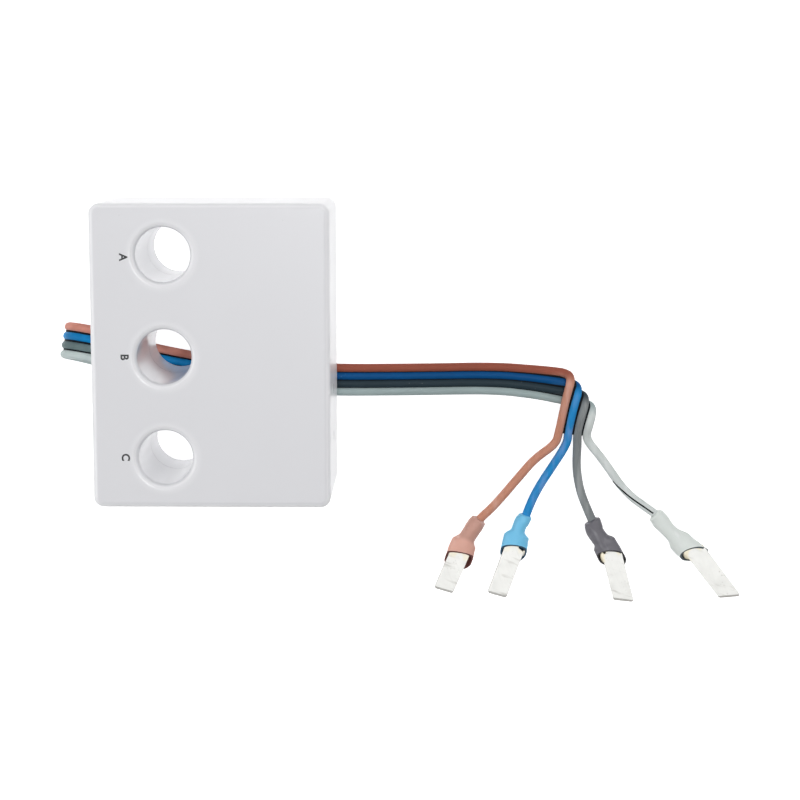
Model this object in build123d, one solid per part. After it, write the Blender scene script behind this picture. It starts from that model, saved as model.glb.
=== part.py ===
from build123d import *
import math
import os

os.makedirs("parts", exist_ok=True)

# Frame: the origin is the middle of the centre bore. +X runs across the front
# face to the side with the push button, +Y runs along the row of bores to
# phase A, and +Z points out of the front face along the bores.

# Case
BORE_PITCH = 17.8
BORE_R = 4.8
BORE_WALL = 0.8
BORE_RIM = 1.0
BORE_REAR_RIM = 0.4
BORE_TO_LEFT = 12.8
CASE_WIDTH = 41.8
CASE_END_MARGIN = 8.9
CASE_DEPTH = 26.0
COVER_DEPTH = 9.4
WALL = 1.4
CORNER_R = 1.8
FRONT_EDGE_R = 1.1
REAR_EDGE_R = 0.7
SEAM_GAP = 0.1
TONGUE_HEIGHT = 1.2
FIT_GAP = 0.1

# Hooks that hold the two shells together
HOOK_WIDTH = 5.0
HOOK_THICKNESS = 0.9
HOOK_HEIGHT = 5.0
HOOK_BITE = 0.5

# Cord of four cores
CORE_DIA = 1.65
CORE_SPACE = 0.05
SLOT_GAP = 0.12
LIFT = 0.1
FOLD_RISE = 2.1

# Sleeves and blades
SLEEVE_R = 1.4
SLEEVE_WALL = 0.38
BELL_HALF_WIDTH = 2.5
BELL_HALF_HEIGHT = 1.32
CORE_IN_SLEEVE = 2.2
BLADE_WIDTH = 3.7
BLADE_THICKNESS = 0.8
BLADE_CORNER = 0.5
SHANK_WIDTH = 1.3
BARREL_R = 0.7

# Main board and what holds it
BOARD_THICKNESS = 1.6
BOARD_EDGE_GAP = 0.3
BOARD_HOLE_GAP = 0.35
PILLAR_R = 1.9
POST_R = 1.4
PEG_R = 0.6
PEG_GAP = 0.1
PILLAR_INSET = 1.9

# Current transformers
RING_GAP = 0.15
RING_END_GAP = 0.15
RING_HEIGHT = 9.8
WINDING_THICKNESS = 0.35
WINDING_OPENING = 2.2
CARRIER_RISE = 2.1
CARRIER_THICKNESS = 0.8
CARRIER_WEB = 2.2
CARRIER_LEG = 1.1
LEAD_R = 0.3
LEAD_SPREAD = 1.9

# Push button, its switch, and the status light
SIDE_PARTS_Z = 0.0
BUTTON_Y = -15.6
LIGHT_Y = -7.2
BUTTON_R = 0.9
BUTTON_TRAVEL = 0.3
BUTTON_GAP = 0.06
BUTTON_FLANGE_R = 1.6
BUTTON_SUNK = 0.2
LIGHT_R = 0.9
LIGHT_FLANGE_R = 1.5
FLANGE_THICKNESS = 0.8
SWITCH_SIZE = 3.4
SWITCH_DEPTH = 1.8
PLUNGER_R = 0.7
PLUNGER_OUT = 0.5
PLUNGER_LENGTH = 1.5
TOUCH = 0.05

# Radio board
RADIO_TO_WALL = 3.8
RADIO_THICKNESS = 1.0
RADIO_LENGTH = 22.8
RADIO_TOP_GAP = 2.1
RADIO_END_GAP = 0.8
HEADER_DEPTH = 2.5

# Places that follow from the sizes above
LEFT = -BORE_TO_LEFT
RIGHT = LEFT + CASE_WIDTH
END_Y = BORE_PITCH + CASE_END_MARGIN
FRONT = CASE_DEPTH / 2
REAR = -CASE_DEPTH / 2
SEAM = REAR + COVER_DEPTH
LEFT_IN = LEFT + WALL
RIGHT_IN = RIGHT - WALL
END_IN = END_Y - WALL
FRONT_IN = FRONT - WALL
REAR_IN = REAR + WALL
MID_X = (LEFT + RIGHT) / 2
BORE_YS = {"a": BORE_PITCH, "b": 0.0, "c": -BORE_PITCH}
TUBE_R = BORE_R + BORE_WALL
CORE_R = CORE_DIA / 2
CORE_PITCH = CORE_DIA + CORE_SPACE
BOARD_TOP = SEAM - CORE_R - TOUCH
BOARD_UNDER = BOARD_TOP - BOARD_THICKNESS
FLOOR = REAR - LIFT - CORE_DIA
LOW = FLOOR + CORE_R
HIGH = LOW + FOLD_RISE
TERMINAL_Z = FLOOR + BELL_HALF_HEIGHT + TOUCH
RING_IN = TUBE_R + RING_GAP
RING_OUT = CASE_END_MARGIN - WALL - RING_END_GAP
CARRIER_TOP = BOARD_TOP + CARRIER_RISE + CARRIER_THICKNESS
RADIO_FACE = RIGHT_IN - RADIO_TO_WALL
RADIO_BACK = RADIO_FACE - RADIO_THICKNESS
RADIO_TOP = FRONT_IN - RADIO_TOP_GAP


def block(x, y, z):
    """A box from pairs of lowest and highest places."""
    size = Box(x[1] - x[0], y[1] - y[0], z[1] - z[0])
    return Pos(sum(x) / 2, sum(y) / 2, sum(z) / 2) * size


def standing(x, y, radius, z):
    """A round bar along Z between two heights."""
    return Pos(x, y, sum(z) / 2) * Cylinder(radius, z[1] - z[0])


def across(y, z, radius, x):
    """A round bar along X between two places."""
    return Pos(sum(x) / 2, y, z) * Rot(0, 90, 0) * Cylinder(radius, x[1] - x[0])


def case_block(inset, z, corner):
    """The case's outline moved in by an inset, between two heights."""
    plain = block((LEFT + inset, RIGHT - inset), (inset - END_Y, END_Y - inset), z)
    return fillet(plain.edges().filter_by(Axis.Z), corner)


def joined(solids):
    """Several touching solids made one."""
    first, *rest = solids
    return first.fuse(*rest).clean() if rest else first


# Shells

HOOKS = [
    (LEFT_IN, BORE_PITCH / 2, 180),
    (LEFT_IN, -BORE_PITCH / 2, 180),
    (RIGHT_IN, BORE_PITCH, 0),
    (MID_X + HOOK_WIDTH, END_IN, 90),
    (MID_X + HOOK_WIDTH, -END_IN, -90),
]
HOOK_TOP = SEAM + HOOK_HEIGHT
PILLARS = [
    (x, y)
    for x in (LEFT_IN + PILLAR_INSET, RIGHT_IN - PILLAR_INSET)
    for y in (PILLAR_INSET - END_IN, END_IN - PILLAR_INSET)
]


def at_hook(hook, shape):
    """A shape drawn at the origin, facing +X, put at a hook's place."""
    x, y, turn = hook
    return Pos(x, y, 0) * Rot(0, 0, turn) * shape


def hook_body():
    """One hook: a tab up the inside of the wall and its tooth."""
    tab = block((-HOOK_THICKNESS - FIT_GAP, -FIT_GAP), (-HOOK_WIDTH / 2, HOOK_WIDTH / 2),
                (REAR_IN, HOOK_TOP))
    foot = block((-HOOK_THICKNESS - FIT_GAP, FIT_GAP), (-HOOK_WIDTH / 2, HOOK_WIDTH / 2),
                 (REAR_IN - FIT_GAP, SEAM - TONGUE_HEIGHT))
    profile = Plane.XZ * make_face(Polyline(
        (-HOOK_THICKNESS / 2, HOOK_TOP),
        (-FIT_GAP, HOOK_TOP),
        (HOOK_BITE, HOOK_TOP - HOOK_BITE - 2 * FIT_GAP),
        (HOOK_BITE, HOOK_TOP - 2 * HOOK_BITE),
        (-HOOK_THICKNESS / 2, HOOK_TOP - 2 * HOOK_BITE),
        close=True))
    tooth = extrude(profile, HOOK_WIDTH / 2, both=True)
    return joined([tab, foot, tooth])


def hook_pocket():
    """The recess in the housing's wall that the tooth snaps into."""
    return block((-FIT_GAP, HOOK_BITE + FIT_GAP),
                 (-HOOK_WIDTH / 2 - FIT_GAP, HOOK_WIDTH / 2 + FIT_GAP),
                 (HOOK_TOP - 2 * HOOK_BITE - FIT_GAP, HOOK_TOP + FIT_GAP))


def wire_slot():
    """The opening in the left wall that the four cores leave through."""
    half = 1.5 * CORE_PITCH + CORE_R + SLOT_GAP
    slot = block((LEFT - WALL, LEFT_IN + WALL), (-half, half),
                 (SEAM - CORE_R - SLOT_GAP, SEAM + CORE_R + SLOT_GAP))
    return fillet(slot.edges().filter_by(Axis.X), CORE_R)


def rim_edges(shape, z):
    """The bores' round edges at a height."""
    rings = shape.edges().filter_by(GeomType.CIRCLE).filter_by_position(Axis.Z, z - TOUCH, z + TOUCH)
    return rings.filter_by(lambda edge: abs(edge.radius - BORE_R) < TOUCH)


def front_housing():
    shell = case_block(0, (SEAM + SEAM_GAP, FRONT), CORNER_R)
    shell = fillet(shell.faces().sort_by(Axis.Z)[-1].edges(), FRONT_EDGE_R)
    shell -= case_block(WALL, (SEAM - WALL, FRONT_IN), CORNER_R / 2)
    shell -= case_block(WALL / 2, (SEAM, SEAM + TONGUE_HEIGHT), CORNER_R / 2)
    for y in BORE_YS.values():
        shell += standing(0, y, TUBE_R, (SEAM + SEAM_GAP, FRONT_IN))
    for x, y in PILLARS:
        shell += standing(x, y, POST_R, (BOARD_TOP, FRONT_IN))
    for y in BORE_YS.values():
        shell -= standing(0, y, BORE_R, (SEAM, FRONT + WALL))
    shell = fillet(rim_edges(shell, FRONT), BORE_RIM)
    for hook in HOOKS:
        shell -= at_hook(hook, hook_pocket())
    shell -= wire_slot()
    shell -= across(BUTTON_Y, SIDE_PARTS_Z, BUTTON_R + BUTTON_GAP, (RIGHT_IN - WALL, RIGHT + WALL))
    shell -= across(LIGHT_Y, SIDE_PARTS_Z, LIGHT_R + TOUCH, (RIGHT_IN - WALL, RIGHT + WALL))
    return shell


def rear_cover():
    shell = case_block(0, (REAR, SEAM), CORNER_R)
    shell = fillet(shell.faces().sort_by(Axis.Z)[0].edges(), REAR_EDGE_R)
    tongue = case_block(WALL / 2 + FIT_GAP, (SEAM - TONGUE_HEIGHT, SEAM + TONGUE_HEIGHT), CORNER_R / 2)
    shell += tongue
    shell -= case_block(WALL, (REAR_IN, FRONT), CORNER_R / 2)
    for y in BORE_YS.values():
        shell += standing(0, y, TUBE_R, (REAR_IN, SEAM))
    for x, y in PILLARS:
        shell += standing(x, y, PILLAR_R, (REAR_IN, BOARD_UNDER))
        shell += standing(x, y, PEG_R, (REAR_IN, BOARD_TOP - FIT_GAP))
    for hook in HOOKS:
        shell += at_hook(hook, hook_body())
    for y in BORE_YS.values():
        shell -= standing(0, y, BORE_R, (REAR - WALL, SEAM + WALL))
    shell = fillet(rim_edges(shell, REAR), BORE_REAR_RIM)
    return shell - wire_slot()


# Main board and what stands on it

def main_board():
    inset = WALL + BOARD_EDGE_GAP
    board = case_block(inset, (BOARD_UNDER, BOARD_TOP), CORNER_R / 2)
    for y in BORE_YS.values():
        board -= standing(0, y, TUBE_R + BOARD_HOLE_GAP, (BOARD_UNDER - WALL, BOARD_TOP + WALL))
    for x, y in PILLARS:
        board -= standing(x, y, PEG_R + PEG_GAP, (BOARD_UNDER - WALL, BOARD_TOP + WALL))
    notch = block((-HOOK_THICKNESS - FIT_GAP - BOARD_EDGE_GAP, WALL),
                  (-HOOK_WIDTH / 2 - BOARD_EDGE_GAP, HOOK_WIDTH / 2 + BOARD_EDGE_GAP),
                  (BOARD_UNDER - WALL, BOARD_TOP + WALL))
    for hook in HOOKS:
        board -= at_hook(hook, notch)
    return board


def core_places():
    """The four cores' places across the cord, from brown to grey."""
    return [CORE_PITCH * (1.5 - k) for k in range(4)]


CLAMP_LEFT = LEFT_IN + BOARD_EDGE_GAP
CLAMP_WIDTH = 1.0
CLAMP_HEIGHT = 2.9
LUG_LEFT = CLAMP_LEFT + CLAMP_WIDTH + BOARD_EDGE_GAP
LUG_LENGTH = 1.3
LUG_WIDTH = 1.32


def wire_clamp():
    """A bridge over the four cores, with a groove for each in its roof."""
    half = 2 * CORE_PITCH + CORE_R
    clamp = block((CLAMP_LEFT, CLAMP_LEFT + CLAMP_WIDTH), (-half, half),
                  (BOARD_TOP, BOARD_TOP + CLAMP_HEIGHT))
    cut = (CLAMP_LEFT - WALL, CLAMP_LEFT + 2 * WALL)
    span = 1.5 * CORE_PITCH + CORE_R + TOUCH
    clamp -= block(cut, (-span, span), (BOARD_TOP - WALL, SEAM))
    for y in core_places():
        clamp -= across(y, SEAM, CORE_R + TOUCH, cut)
    return clamp


def solder_lugs():
    """Each core ends on a lug of its own, soldered to the board."""
    lug = (LUG_LEFT, LUG_LEFT + LUG_LENGTH)
    half = LUG_WIDTH / 2
    return Compound(children=[
        block(lug, (y - half, y + half), (BOARD_TOP, SEAM + CORE_R / 2)) for y in core_places()])


def ct_carrier():
    """One tray under the three rings, open where their leads go down."""
    plate_z = (BOARD_TOP + CARRIER_RISE, CARRIER_TOP)
    pieces = []
    for y in BORE_YS.values():
        pieces.append(standing(0, y, RING_OUT, plate_z))
    pieces.append(block((-CARRIER_WEB, CARRIER_WEB), (-BORE_PITCH, BORE_PITCH), plate_z))
    leg = CARRIER_LEG
    leg_x = RING_OUT * math.cos(math.radians(45)) - leg / 2
    for y in BORE_YS.values():
        for side in (-1, 1):
            leg_y = y + side * leg_x
            pieces.append(block((leg_x - leg / 2, leg_x + leg / 2), (leg_y - leg / 2, leg_y + leg / 2),
                                (BOARD_TOP, CARRIER_TOP)))
    tray = joined(pieces)
    for y in BORE_YS.values():
        tray -= standing(0, y, RING_IN, (BOARD_TOP, FRONT))
        tray -= block((TUBE_R, RING_OUT + WALL), (y - LEAD_SPREAD - 2 * LEAD_R, y + LEAD_SPREAD + 2 * LEAD_R),
                      (BOARD_TOP, FRONT))
    return tray


def ring(y, inner, outer, z):
    return standing(0, y, outer, z) - standing(0, y, inner, (z[0] - WALL, z[1] + WALL))


def ct_core(y):
    return ring(y, RING_IN + WINDING_THICKNESS, RING_OUT - WINDING_THICKNESS,
                (CARRIER_TOP + WINDING_THICKNESS, CARRIER_TOP + RING_HEIGHT - WINDING_THICKNESS))


def ct_winding(y):
    """The copper round the core, open at the leads, with two leads to the board."""
    winding = ring(y, RING_IN, RING_OUT, (CARRIER_TOP, CARRIER_TOP + RING_HEIGHT))
    winding -= ct_core(y)
    winding -= block((0, RING_OUT + WALL), (y - WINDING_OPENING / 2, y + WINDING_OPENING / 2),
                     (CARRIER_TOP - WALL, CARRIER_TOP + RING_HEIGHT + WALL))
    lead_x = RING_OUT - WINDING_THICKNESS / 2 - LEAD_R / 2
    for side in (-1, 1):
        winding += standing(lead_x, y + side * LEAD_SPREAD, LEAD_R,
                            (BOARD_TOP, CARRIER_TOP + WINDING_THICKNESS / 2))
    return winding


# Power supply

# The room for the larger parts runs from the rings to the right wall's hook.
# The strip for the smaller parts ends at the radio board's header.
ROOM = RIGHT_IN - HOOK_THICKNESS - RING_OUT
STRIP = RADIO_BACK - HEADER_DEPTH - RING_OUT
SUPPLY_Y = 12.2
EE_START = RING_OUT + 0.3 * ROOM
EE_END = RIGHT_IN - PILLAR_INSET
EE_WIDTH = EE_END - EE_START
SUPPLY_X = (EE_START + EE_END) / 2
EE_DEPTH = 5.2
EE_HEIGHT = 10.4
EE_LEG = EE_WIDTH / 6
EE_MIDDLE = EE_WIDTH / 4
WINDING_GAP = 0.15
WINDING_OVERHANG = 2.2
CAPACITOR_GROOVE = 0.4
CAPACITOR_SLACK = 1.0
CAPACITOR_SPACE = (ROOM - CAPACITOR_SLACK) / 4
CAPACITOR_R = CAPACITOR_SPACE - CAPACITOR_GROOVE - 2 * FIT_GAP
CAPACITOR_HEIGHT = 13.0
CAPACITOR_Y = 3.0
CAPACITOR_BELT = 1.6
OUTPUT_CAN_AT = (RING_OUT + 0.28 * STRIP, -7.4)
OUTPUT_CAN_R = 0.19 * STRIP
OUTPUT_CAN_HEIGHT = 8.0
RECTIFIER_AT = (RING_OUT + 0.08 * ROOM, 10.4)
RECTIFIER_SIZE = (0.23 * ROOM, 5.2, 1.6)
RECTIFIER_BEVEL = 0.3
RESISTOR_START = RING_OUT + 0.22 * STRIP
RESISTOR_PITCH = 0.23 * STRIP
RESISTOR_R = 0.09 * STRIP
RESISTOR_HEIGHT = 8.0
VARISTOR_START = RING_OUT + 0.08 * STRIP
VARISTOR_PITCH = 0.29 * STRIP
VARISTOR_R = 3.2
VARISTOR_THICKNESS = 0.22 * STRIP
VARISTOR_EDGE = 0.5
INDUCTOR_AT = (RING_OUT + 0.67 * STRIP, -4.6)
INDUCTOR_R = 0.18 * STRIP
INDUCTOR_HEIGHT = 5.0
INDUCTOR_RIM = 0.8
INDUCTOR_WAIST = 0.3 * INDUCTOR_R

# Measuring parts
CHIP_AT = (RING_OUT + 0.36 * STRIP, -15.9)
CHIP_SIZE = (0.54 * STRIP, 7.0, 1.2)
CHIP_CORNER = 0.4
CRYSTAL_AT = (RING_OUT + 0.75 * STRIP, -9.8)
CRYSTAL_SIZE = (0.19 * STRIP, 3.2, 0.8)
CRYSTAL_CORNER = 0.3
DIVIDER_AT = (RING_OUT + 0.31 * STRIP, 3.0)
DIVIDER_STEP = (0.22 * STRIP, 3.0)
DIVIDER_SIZE = (0.15 * STRIP, 1.25, 0.5)


def on_board(place, size):
    """A box that stands on the main board."""
    x, y = place
    width, length, height = size
    return block((x - width / 2, x + width / 2), (y - length / 2, y + length / 2),
                 (BOARD_TOP, BOARD_TOP + height))


def transformer_core():
    """Two E halves round the winding, seen as one ferrite block with two windows."""
    block_z = (BOARD_TOP, BOARD_TOP + EE_HEIGHT)
    body = block((SUPPLY_X - EE_WIDTH / 2, SUPPLY_X + EE_WIDTH / 2),
                 (SUPPLY_Y - EE_DEPTH / 2, SUPPLY_Y + EE_DEPTH / 2), block_z)
    for side in (-1, 1):
        inner = SUPPLY_X + side * EE_MIDDLE / 2
        outer = SUPPLY_X + side * (EE_WIDTH / 2 - EE_LEG)
        body -= block((min(inner, outer), max(inner, outer)), (SUPPLY_Y - EE_DEPTH, SUPPLY_Y + EE_DEPTH),
                      (block_z[0] + EE_LEG, block_z[1] - EE_LEG))
    return body


def transformer_winding():
    half_x = EE_WIDTH / 2 - EE_LEG - WINDING_GAP
    half_y = EE_DEPTH / 2 + WINDING_OVERHANG
    z = (BOARD_TOP + EE_LEG + WINDING_GAP, BOARD_TOP + EE_HEIGHT - EE_LEG - WINDING_GAP)
    coil = block((SUPPLY_X - half_x, SUPPLY_X + half_x), (SUPPLY_Y - half_y, SUPPLY_Y + half_y), z)
    coil = fillet(coil.edges().filter_by(Axis.Z), WINDING_OVERHANG / 2)
    coil -= block((SUPPLY_X - EE_MIDDLE / 2 - WINDING_GAP, SUPPLY_X + EE_MIDDLE / 2 + WINDING_GAP),
                  (SUPPLY_Y - EE_DEPTH / 2 - WINDING_GAP, SUPPLY_Y + EE_DEPTH / 2 + WINDING_GAP),
                  (BOARD_TOP, FRONT))
    for side_x in (-1, 1):
        for side_y in (-1, 1):
            coil += standing(SUPPLY_X + side_x * half_x / 2, SUPPLY_Y + side_y * (half_y - LEAD_R * 2),
                             LEAD_R, (BOARD_TOP, BOARD_TOP + EE_LEG * 1.5))
    return coil


def capacitor(x, y, radius, height):
    """A standing electrolytic can with its rolled belt near the foot."""
    can = standing(x, y, radius, (BOARD_TOP, BOARD_TOP + height))
    can = fillet(can.edges().filter_by(GeomType.CIRCLE), CAPACITOR_GROOVE)
    belt = Pos(x, y, BOARD_TOP + CAPACITOR_BELT) * Torus(radius + CAPACITOR_GROOVE / 2, CAPACITOR_GROOVE)
    return can - belt


def bulk_capacitors():
    middle = RIGHT_IN - HOOK_THICKNESS - 2 * CAPACITOR_SPACE
    return Compound(children=[
        capacitor(middle + side * CAPACITOR_SPACE, CAPACITOR_Y, CAPACITOR_R, CAPACITOR_HEIGHT)
        for side in (-1, 1)])


def output_capacitor():
    return capacitor(*OUTPUT_CAN_AT, OUTPUT_CAN_R, OUTPUT_CAN_HEIGHT)


def bridge_rectifier():
    body = on_board(RECTIFIER_AT, RECTIFIER_SIZE)
    return chamfer(body.faces().sort_by(Axis.Z)[-1].edges(), RECTIFIER_BEVEL)


def input_resistors():
    """Three upright resistors in a row beside the end wall."""
    y = PILLAR_INSET + RESISTOR_R / 2 - END_IN
    return Compound(children=[
        standing(RESISTOR_START + RESISTOR_PITCH * k, y, RESISTOR_R, (BOARD_TOP, BOARD_TOP + RESISTOR_HEIGHT))
        for k in range(3)])


def varistors():
    """Three upright discs in a row, one for each phase."""
    y = END_IN - HOOK_THICKNESS - BOARD_EDGE_GAP - FIT_GAP - VARISTOR_R
    discs = []
    for k in range(3):
        x = VARISTOR_START + VARISTOR_PITCH * k
        disc = across(y, BOARD_TOP + VARISTOR_R, VARISTOR_R, (x, x + VARISTOR_THICKNESS))
        discs.append(fillet(disc.edges().filter_by(GeomType.CIRCLE), VARISTOR_EDGE))
    return Compound(children=discs)


def filter_inductor():
    """A ferrite drum with its waist."""
    drum = standing(*INDUCTOR_AT, INDUCTOR_R, (BOARD_TOP, BOARD_TOP + INDUCTOR_HEIGHT))
    waist = (BOARD_TOP + INDUCTOR_RIM, BOARD_TOP + INDUCTOR_HEIGHT - INDUCTOR_RIM)
    outside = standing(*INDUCTOR_AT, INDUCTOR_R + WALL, waist)
    inside = standing(*INDUCTOR_AT, INDUCTOR_R - INDUCTOR_WAIST, waist)
    return drum - (outside - inside)


def metering_chip():
    return chamfer(on_board(CHIP_AT, CHIP_SIZE).edges().filter_by(Axis.Z), CHIP_CORNER)


def crystal():
    return fillet(on_board(CRYSTAL_AT, CRYSTAL_SIZE).edges().filter_by(Axis.Z), CRYSTAL_CORNER)


def divider_resistors():
    """Nine small chips on the board's underside, three in series for each phase."""
    width, length, height = DIVIDER_SIZE
    chips = []
    for row in range(3):
        for place in range(3):
            x = DIVIDER_AT[0] + DIVIDER_STEP[0] * place
            y = DIVIDER_AT[1] + DIVIDER_STEP[1] * row
            chips.append(block((x, x + width), (y, y + length), (BOARD_UNDER - height, BOARD_UNDER)))
    return Compound(children=chips)


# Radio board, light and button

RADIO_START = RADIO_END_GAP - END_IN
HEADER_HEIGHT = 2.5
HEADER_ENDS = (2.0, 18.8)
SHIELD_THICKNESS = 2.0
SHIELD_ENDS = (1.5, 15.5)
SHIELD_FOOT = 3.0
SHIELD_EDGE_R = 0.4
RADIO_RIM = 1.0
ANTENNA_THICKNESS = 1.2
ANTENNA_ENDS = (16.5, 21.5)
ANTENNA_HEIGHT = 2.6
LIGHT_CHIP = 0.7
LIGHT_CHIP_HALF = (0.8, 0.5)
SWITCH_BEVEL = 0.3


def along_radio(ends):
    """Places along the radio board, counted from its end."""
    return tuple(RADIO_START + end for end in ends)


def radio_board():
    return block((RADIO_BACK, RADIO_FACE), along_radio((0, RADIO_LENGTH)), (BOARD_TOP, RADIO_TOP))


def board_header():
    return block((RADIO_BACK - HEADER_DEPTH, RADIO_BACK), along_radio(HEADER_ENDS),
                 (BOARD_TOP, BOARD_TOP + HEADER_HEIGHT))


def radio_shield():
    can = block((RADIO_BACK - SHIELD_THICKNESS, RADIO_BACK), along_radio(SHIELD_ENDS),
                (BOARD_TOP + SHIELD_FOOT, RADIO_TOP - RADIO_RIM))
    return fillet(can.faces().sort_by(Axis.X)[0].edges(), SHIELD_EDGE_R)


def antenna():
    return block((RADIO_BACK - ANTENNA_THICKNESS, RADIO_BACK), along_radio(ANTENNA_ENDS),
                 (RADIO_TOP - RADIO_RIM - ANTENNA_HEIGHT, RADIO_TOP - RADIO_RIM))


def status_light():
    half_y, half_z = LIGHT_CHIP_HALF
    return block((RADIO_FACE, RADIO_FACE + LIGHT_CHIP), (LIGHT_Y - half_y, LIGHT_Y + half_y),
                 (SIDE_PARTS_Z - half_z, SIDE_PARTS_Z + half_z))


def light_pipe():
    rod = across(LIGHT_Y, SIDE_PARTS_Z, LIGHT_R, (RADIO_FACE + LIGHT_CHIP + FIT_GAP, RIGHT))
    flange = across(LIGHT_Y, SIDE_PARTS_Z, LIGHT_FLANGE_R, (RIGHT_IN - FLANGE_THICKNESS, RIGHT_IN))
    return rod + flange


def switch_body():
    half = SWITCH_SIZE / 2
    body = block((RADIO_FACE, RADIO_FACE + SWITCH_DEPTH), (BUTTON_Y - half, BUTTON_Y + half),
                 (SIDE_PARTS_Z - half, SIDE_PARTS_Z + half))
    body = chamfer(body.edges().filter_by(Axis.X), SWITCH_BEVEL)
    return body - across(BUTTON_Y, SIDE_PARTS_Z, PLUNGER_R + TOUCH,
                         (PLUNGER_TIP - PLUNGER_LENGTH - BUTTON_TRAVEL - FIT_GAP, RIGHT))


PLUNGER_TIP = RADIO_FACE + SWITCH_DEPTH + PLUNGER_OUT
BUTTON_BACK = PLUNGER_TIP + TOUCH
FLANGE_FRONT = RIGHT_IN - FIT_GAP


def switch_plunger():
    return across(BUTTON_Y, SIDE_PARTS_Z, PLUNGER_R, (PLUNGER_TIP - PLUNGER_LENGTH, PLUNGER_TIP))


def push_button():
    """A headed pin: the head fills the hole, the flange keeps it in."""
    cap = across(BUTTON_Y, SIDE_PARTS_Z, BUTTON_R, (FLANGE_FRONT - FIT_GAP, RIGHT - BUTTON_SUNK))
    cap = fillet(cap.edges().filter_by(GeomType.CIRCLE).sort_by(Axis.X)[-1], BUTTON_R / 4)
    flange = across(BUTTON_Y, SIDE_PARTS_Z, BUTTON_FLANGE_R, (FLANGE_FRONT - FLANGE_THICKNESS, FLANGE_FRONT))
    stem = across(BUTTON_Y, SIDE_PARTS_Z, PLUNGER_R, (BUTTON_BACK, FLANGE_FRONT - FIT_GAP))
    return joined([cap, flange, stem])


# Cord: the middle of the ribbon, as x, y, height, and the step from one core
# to the next towards brown, in core pitches.

MIDWAY = (SEAM + LOW) / 2
RIBBON = [
    ((LUG_LEFT, 0.0, SEAM), (0.0, 1.0)),
    ((-13.2, 0.0, SEAM), (0.07, 1.0)),
    ((-18.5, 0.7, SEAM), (0.14, 0.99)),
    ((-21.45, -0.1, MIDWAY), (0.19, 1.0)),
    ((-18.5, -0.9, LOW), (0.24, 0.98)),
    ((-8.4, -3.5, LOW), (0.21, 0.98)),
    ((7.0, -6.35, LOW), (0.13, 0.99)),
    ((25.5, -7.6, LOW), (0.03, 1.0)),
    ((44.0, -7.4, LOW), (-0.02, 1.0)),
    ((58.0, -7.1, LOW), (0.03, 1.0)),
    ((65.4, -7.75, LOW), (-0.12, 1.02)),
    ((70.62, -8.57, LOW), (-0.48, 1.10)),
    ((73.5, -8.93, LOW), (-0.80, 1.13)),
    ((74.54, -9.39, LOW + FOLD_RISE / 2), (-0.80, 1.13)),
    ((74.6, -10.53, HIGH), (-0.80, 1.13)),
    ((73.9, -13.34, HIGH), (-0.88, 0.88)),
    ((73.12, -17.46, LOW + FOLD_RISE / 3), (-1.0, 0.1)),
]

# Where each core goes after it leaves the ribbon
LOOSE = {
    "brown": [(70.0, -19.6, LOW), (66.2, -22.3, LOW), (63.4, -25.6, LOW),
              (58.4, -31.5, TERMINAL_Z), (55.65, -33.95, TERMINAL_Z), (54.45, -35.79, TERMINAL_Z)],
    "blue": [(72.2, -19.4, LOW), (69.6, -23.6, LOW), (67.3, -27.1, LOW),
             (65.2, -31.0, TERMINAL_Z), (63.88, -35.13, TERMINAL_Z)],
    "black": [(74.1, -19.6, LOW), (73.9, -24.0, LOW), (74.7, -28.6, LOW),
              (76.1, -32.0, TERMINAL_Z), (77.14, -34.35, TERMINAL_Z), (78.36, -36.18, TERMINAL_Z)],
    "grey": [(76.2, -19.3, LOW), (78.9, -22.5, LOW), (83.2, -28.8, LOW),
             (87.6, -31.9, TERMINAL_Z), (89.0, -32.87, TERMINAL_Z), (90.61, -34.37, TERMINAL_Z)],
}
COLOURS = ["brown", "blue", "black", "grey"]

# Each terminal: the length of sleeve before its bend, the bell's length, the
# blade's heading in degrees from -Y towards +X, and how much of it shows.
TERMINALS = {
    "brown": (4.8, 4.3, -22.5, 6.3),
    "blue": (4.4, 4.1, -19.8, 8.0),
    "black": (4.6, 4.2, 17.1, 7.8),
    "grey": (5.9, 5.0, 40.5, 10.6),
}
# How far each blade's end is slanted from square, in degrees.
TIP_SLANTS = {"brown": -6, "blue": -4, "black": 22, "grey": 22}


def core_points(colour):
    """A core's route: its line in the ribbon, then its own points."""
    steps = (1.5 - COLOURS.index(colour)) * CORE_PITCH
    line = [(x + steps * dx, y + steps * dy, z) for (x, y, z), (dx, dy) in RIBBON]
    return [Vector(*point) for point in line + LOOSE[colour]]


def bend_radii(points):
    """An arc for each corner, as large as its two runs allow."""
    radii = []
    for before, corner, after in zip(points, points[1:], points[2:]):
        arriving = corner - before
        leaving = after - corner
        half_turn = math.radians(arriving.get_angle(leaving)) / 2
        radii.append(0.45 * min(arriving.length, leaving.length) / math.tan(half_turn))
    return radii


def cord_core(colour):
    points = core_points(colour)
    radii = bend_radii(points)
    path = FilletPolyline(*points, radius=radii)
    section = Plane(origin=path @ 0, z_dir=path % 0) * Circle(CORE_R)
    tube = sweep(section, path=path)
    expected = math.pi * CORE_R**2 * path.length
    print(colour, "core: length", round(path.length, 1), "volume share", round(tube.volume / expected, 4),
          "radii", [round(radius, 1) for radius in radii])
    return tube


# Terminals

def heading(points):
    """The direction of a route's last run."""
    return (points[-1] - points[-2]).normalized()


def ellipse_at(place, direction, half_width, half_height):
    """An upright ellipse square to a level direction."""
    level = Vector(-direction.Y, direction.X, 0)
    return Plane(origin=place, x_dir=level, z_dir=direction) * Ellipse(half_width, half_height)


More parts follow.
